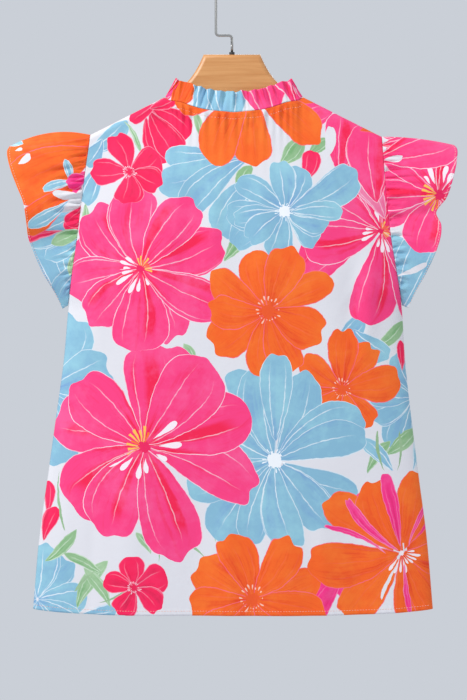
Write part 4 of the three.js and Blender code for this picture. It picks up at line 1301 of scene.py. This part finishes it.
# Hanger: the model's wood with its rounding smoothed, a finer wire, and the model's nut
WIRE_RADIUS = 1.7
HOOK_RADIUS = 20.8
HOOK_JOG = -68.3
HOOK_BEND = 4.0
STEM_FOOT = -89.8
WOOD_GRAIN = (7, 160, 160)
WOOD_PORES = (30, 900, 900)
WOOD_PALE = "e4a96c"
WOOD_BAND = "c17d3f"
WOOD_PORE = "a8662e"
SMUDGE = "6d6c6a"


def wood_finish():
    wood = Finish("pale varnished wood", roughness=0.42, coat_weight=0.18, coat_roughness=0.3)
    place = wood.node("ShaderNodeTexCoord", output="Object")
    along = wood.node("ShaderNodeMapping", None, {"Vector": place, "Scale": WOOD_GRAIN})
    fine = wood.node("ShaderNodeMapping", None, {"Vector": place, "Scale": WOOD_PORES})
    bands = wood.noise(along, 1.0, 4.0, 0.6)
    pores = wood.noise(fine, 1.0, 3.0, 0.6)
    look = wood.blend((bands * 2.2 - 0.6).held(), dye(WOOD_PALE), dye(WOOD_BAND))
    look = wood.blend(((pores - 0.58) * 3).held() * 0.5, look, dye(WOOD_PORE))
    wood.link("Base Color", look)
    wood.link("Normal", wood.bump(bands + pores * 0.6, 0.2, 0.0002))
    return wood.material


def steel_finish(name, colour, roughness):
    steel = Finish(name, metallic=1.0)
    place = steel.node("ShaderNodeTexCoord", output="Object")
    smudges = steel.noise(place, 160.0, 3.0, 0.6)
    steel.link("Base Color", steel.blend(smudges * 0.35, dye(colour), dye(SMUDGE)))
    steel.link("Roughness", smudges * 0.2 + (roughness - 0.1))
    return steel.material


def hook_path():
    """The wire's middle line: up the stem, a step to the wearer's left, up, and over the rail."""
    points = [Vector((0, 0, STEM_FOOT)), Vector((0, 0, HOOK_JOG - HOOK_BEND))]

    def corner(x, z, from_turn, to_turn):
        for t in steps(0, 1, 6):
            turn = math.radians(from_turn + (to_turn - from_turn) * t)
            points.append(Vector((x + HOOK_BEND * math.cos(turn), 0, z + HOOK_BEND * math.sin(turn))))

    corner(-HOOK_BEND, HOOK_JOG - HOOK_BEND, 0, 90)
    corner(HOOK_BEND - HOOK_RADIUS, HOOK_JOG + HOOK_BEND, 270, 180)
    centre = WIRE_RADIUS - HOOK_RADIUS
    for t in steps(0, 1, 48):
        turn = math.pi * t
        points.append(Vector((-HOOK_RADIUS * math.cos(turn), 0, centre + HOOK_RADIUS * math.sin(turn))))
    return points


def wire(name, points, radius, finish):
    """A round wire along points that lie in the middle plane, its ends closed."""
    bm = bmesh.new()
    ends = [(points[0], 0.0)] + [(p, radius) for p in points] + [(points[-1], 0.0)]
    around = 20
    bmesh.ops.create_grid(bm, x_segments=around, y_segments=len(ends) - 1, size=0.5)
    for vertex in bm.verts:
        turn = 2 * math.pi * round((vertex.co.x + 0.5) * around) / around
        j = round((vertex.co.y + 0.5) * (len(ends) - 1))
        centre, reach = ends[j]
        k = min(max(j - 1, 0), len(points) - 1)
        way = (points[min(k + 1, len(points) - 1)] - points[max(k - 1, 0)]).normalized()
        side = Vector((way.z, 0, -way.x))
        vertex.co = (centre + (side * math.cos(turn) + Vector((0, 1, 0)) * math.sin(turn)) * reach) * MM
    bmesh.ops.remove_doubles(bm, verts=bm.verts, dist=1e-6)
    bmesh.ops.recalc_face_normals(bm, faces=bm.faces)
    for face in bm.faces:
        face.smooth = True
    return finished(name, bm, finish)


bm = bmesh.new()
bm.from_mesh(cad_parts["hanger_wood"].data)
bmesh.ops.remove_doubles(bm, verts=bm.verts, dist=1e-6)
for face in bm.faces:
    face.smooth = abs(face.normal.y) < 0.999
hanger_wood = finished("hanger_wood_grained", bm, wood_finish())
hanger_wire = wire("hanger_hook_wire", hook_path(), WIRE_RADIUS, steel_finish("bright wire", "b9b8b4", 0.3))
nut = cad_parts["hanger_nut"]
nut.material_slots[0].material = steel_finish("dark nut", "4a4846", 0.4)

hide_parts("hanger_wood")
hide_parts("hanger_hook")
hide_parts("neck_frill")
for face, piece in panels.items():
    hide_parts(f"{face}_panel")
for side, piece in sleeves.items():
    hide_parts(f"sleeve_{side}")

# Camera, floor and light
camera_data = bpy.data.cameras.new("camera")
camera_data.lens = FILM_LONG_SIDE * VIEW_DISTANCE / VIEW_HEIGHT
camera_data.sensor_width = FILM_LONG_SIDE
camera = bpy.data.objects.new("camera", camera_data)
camera.location = (VIEW_MIDDLE[0], -VIEW_DISTANCE, VIEW_MIDDLE[1])
camera.rotation_euler = (math.pi / 2, 0, 0)
bpy.context.collection.objects.link(camera)
bpy.context.scene.camera = camera
bpy.context.scene.view_settings.view_transform = "Standard"

FLOOR_BELOW = 0.45
FLOOR_RADIUS = 0.9
floor_mesh = bpy.data.meshes.new("floor")
bm = bmesh.new()
bmesh.ops.create_circle(bm, cap_ends=True, segments=96, radius=FLOOR_RADIUS,
                        matrix=Matrix.Translation((0, 0, model_low.z - FLOOR_BELOW)))
bm.to_mesh(floor_mesh)
bm.free()
plain = Finish("plain pale floor", roughness=0.8)
plain.surface.inputs["Base Color"].default_value = dye("d9dce2")
floor_mesh.materials.append(plain.material)
floor = bpy.data.objects.new("floor", floor_mesh)
bpy.context.collection.objects.link(floor)

world = bpy.data.worlds.new("studio")
world.use_nodes = True
world.node_tree.nodes["Background"].inputs["Color"].default_value = dye("cacfd7")
world.node_tree.nodes["Background"].inputs["Strength"].default_value = 1.0
bpy.context.scene.world = world

LIGHTS_AIM = (0, 0, -0.45)
LIGHTS = (
    # name, place, size, power
    ("window side", (-1.9, -1.5, 1.5), 1.0, 66),
    ("fill side", (1.9, -2.0, -0.2), 1.8, 6),
    ("behind", (0.3, 1.9, 0.8), 1.4, 14),
)
for name, place, size, power in LIGHTS:
    light = bpy.data.lights.new(name, "AREA")
    light.energy, light.size = power, size
    lamp = bpy.data.objects.new(name, light)
    lamp.location = place
    lamp.rotation_euler = (Vector(LIGHTS_AIM) - Vector(place)).to_track_quat("-Z", "Y").to_euler()
    bpy.context.collection.objects.link(lamp)
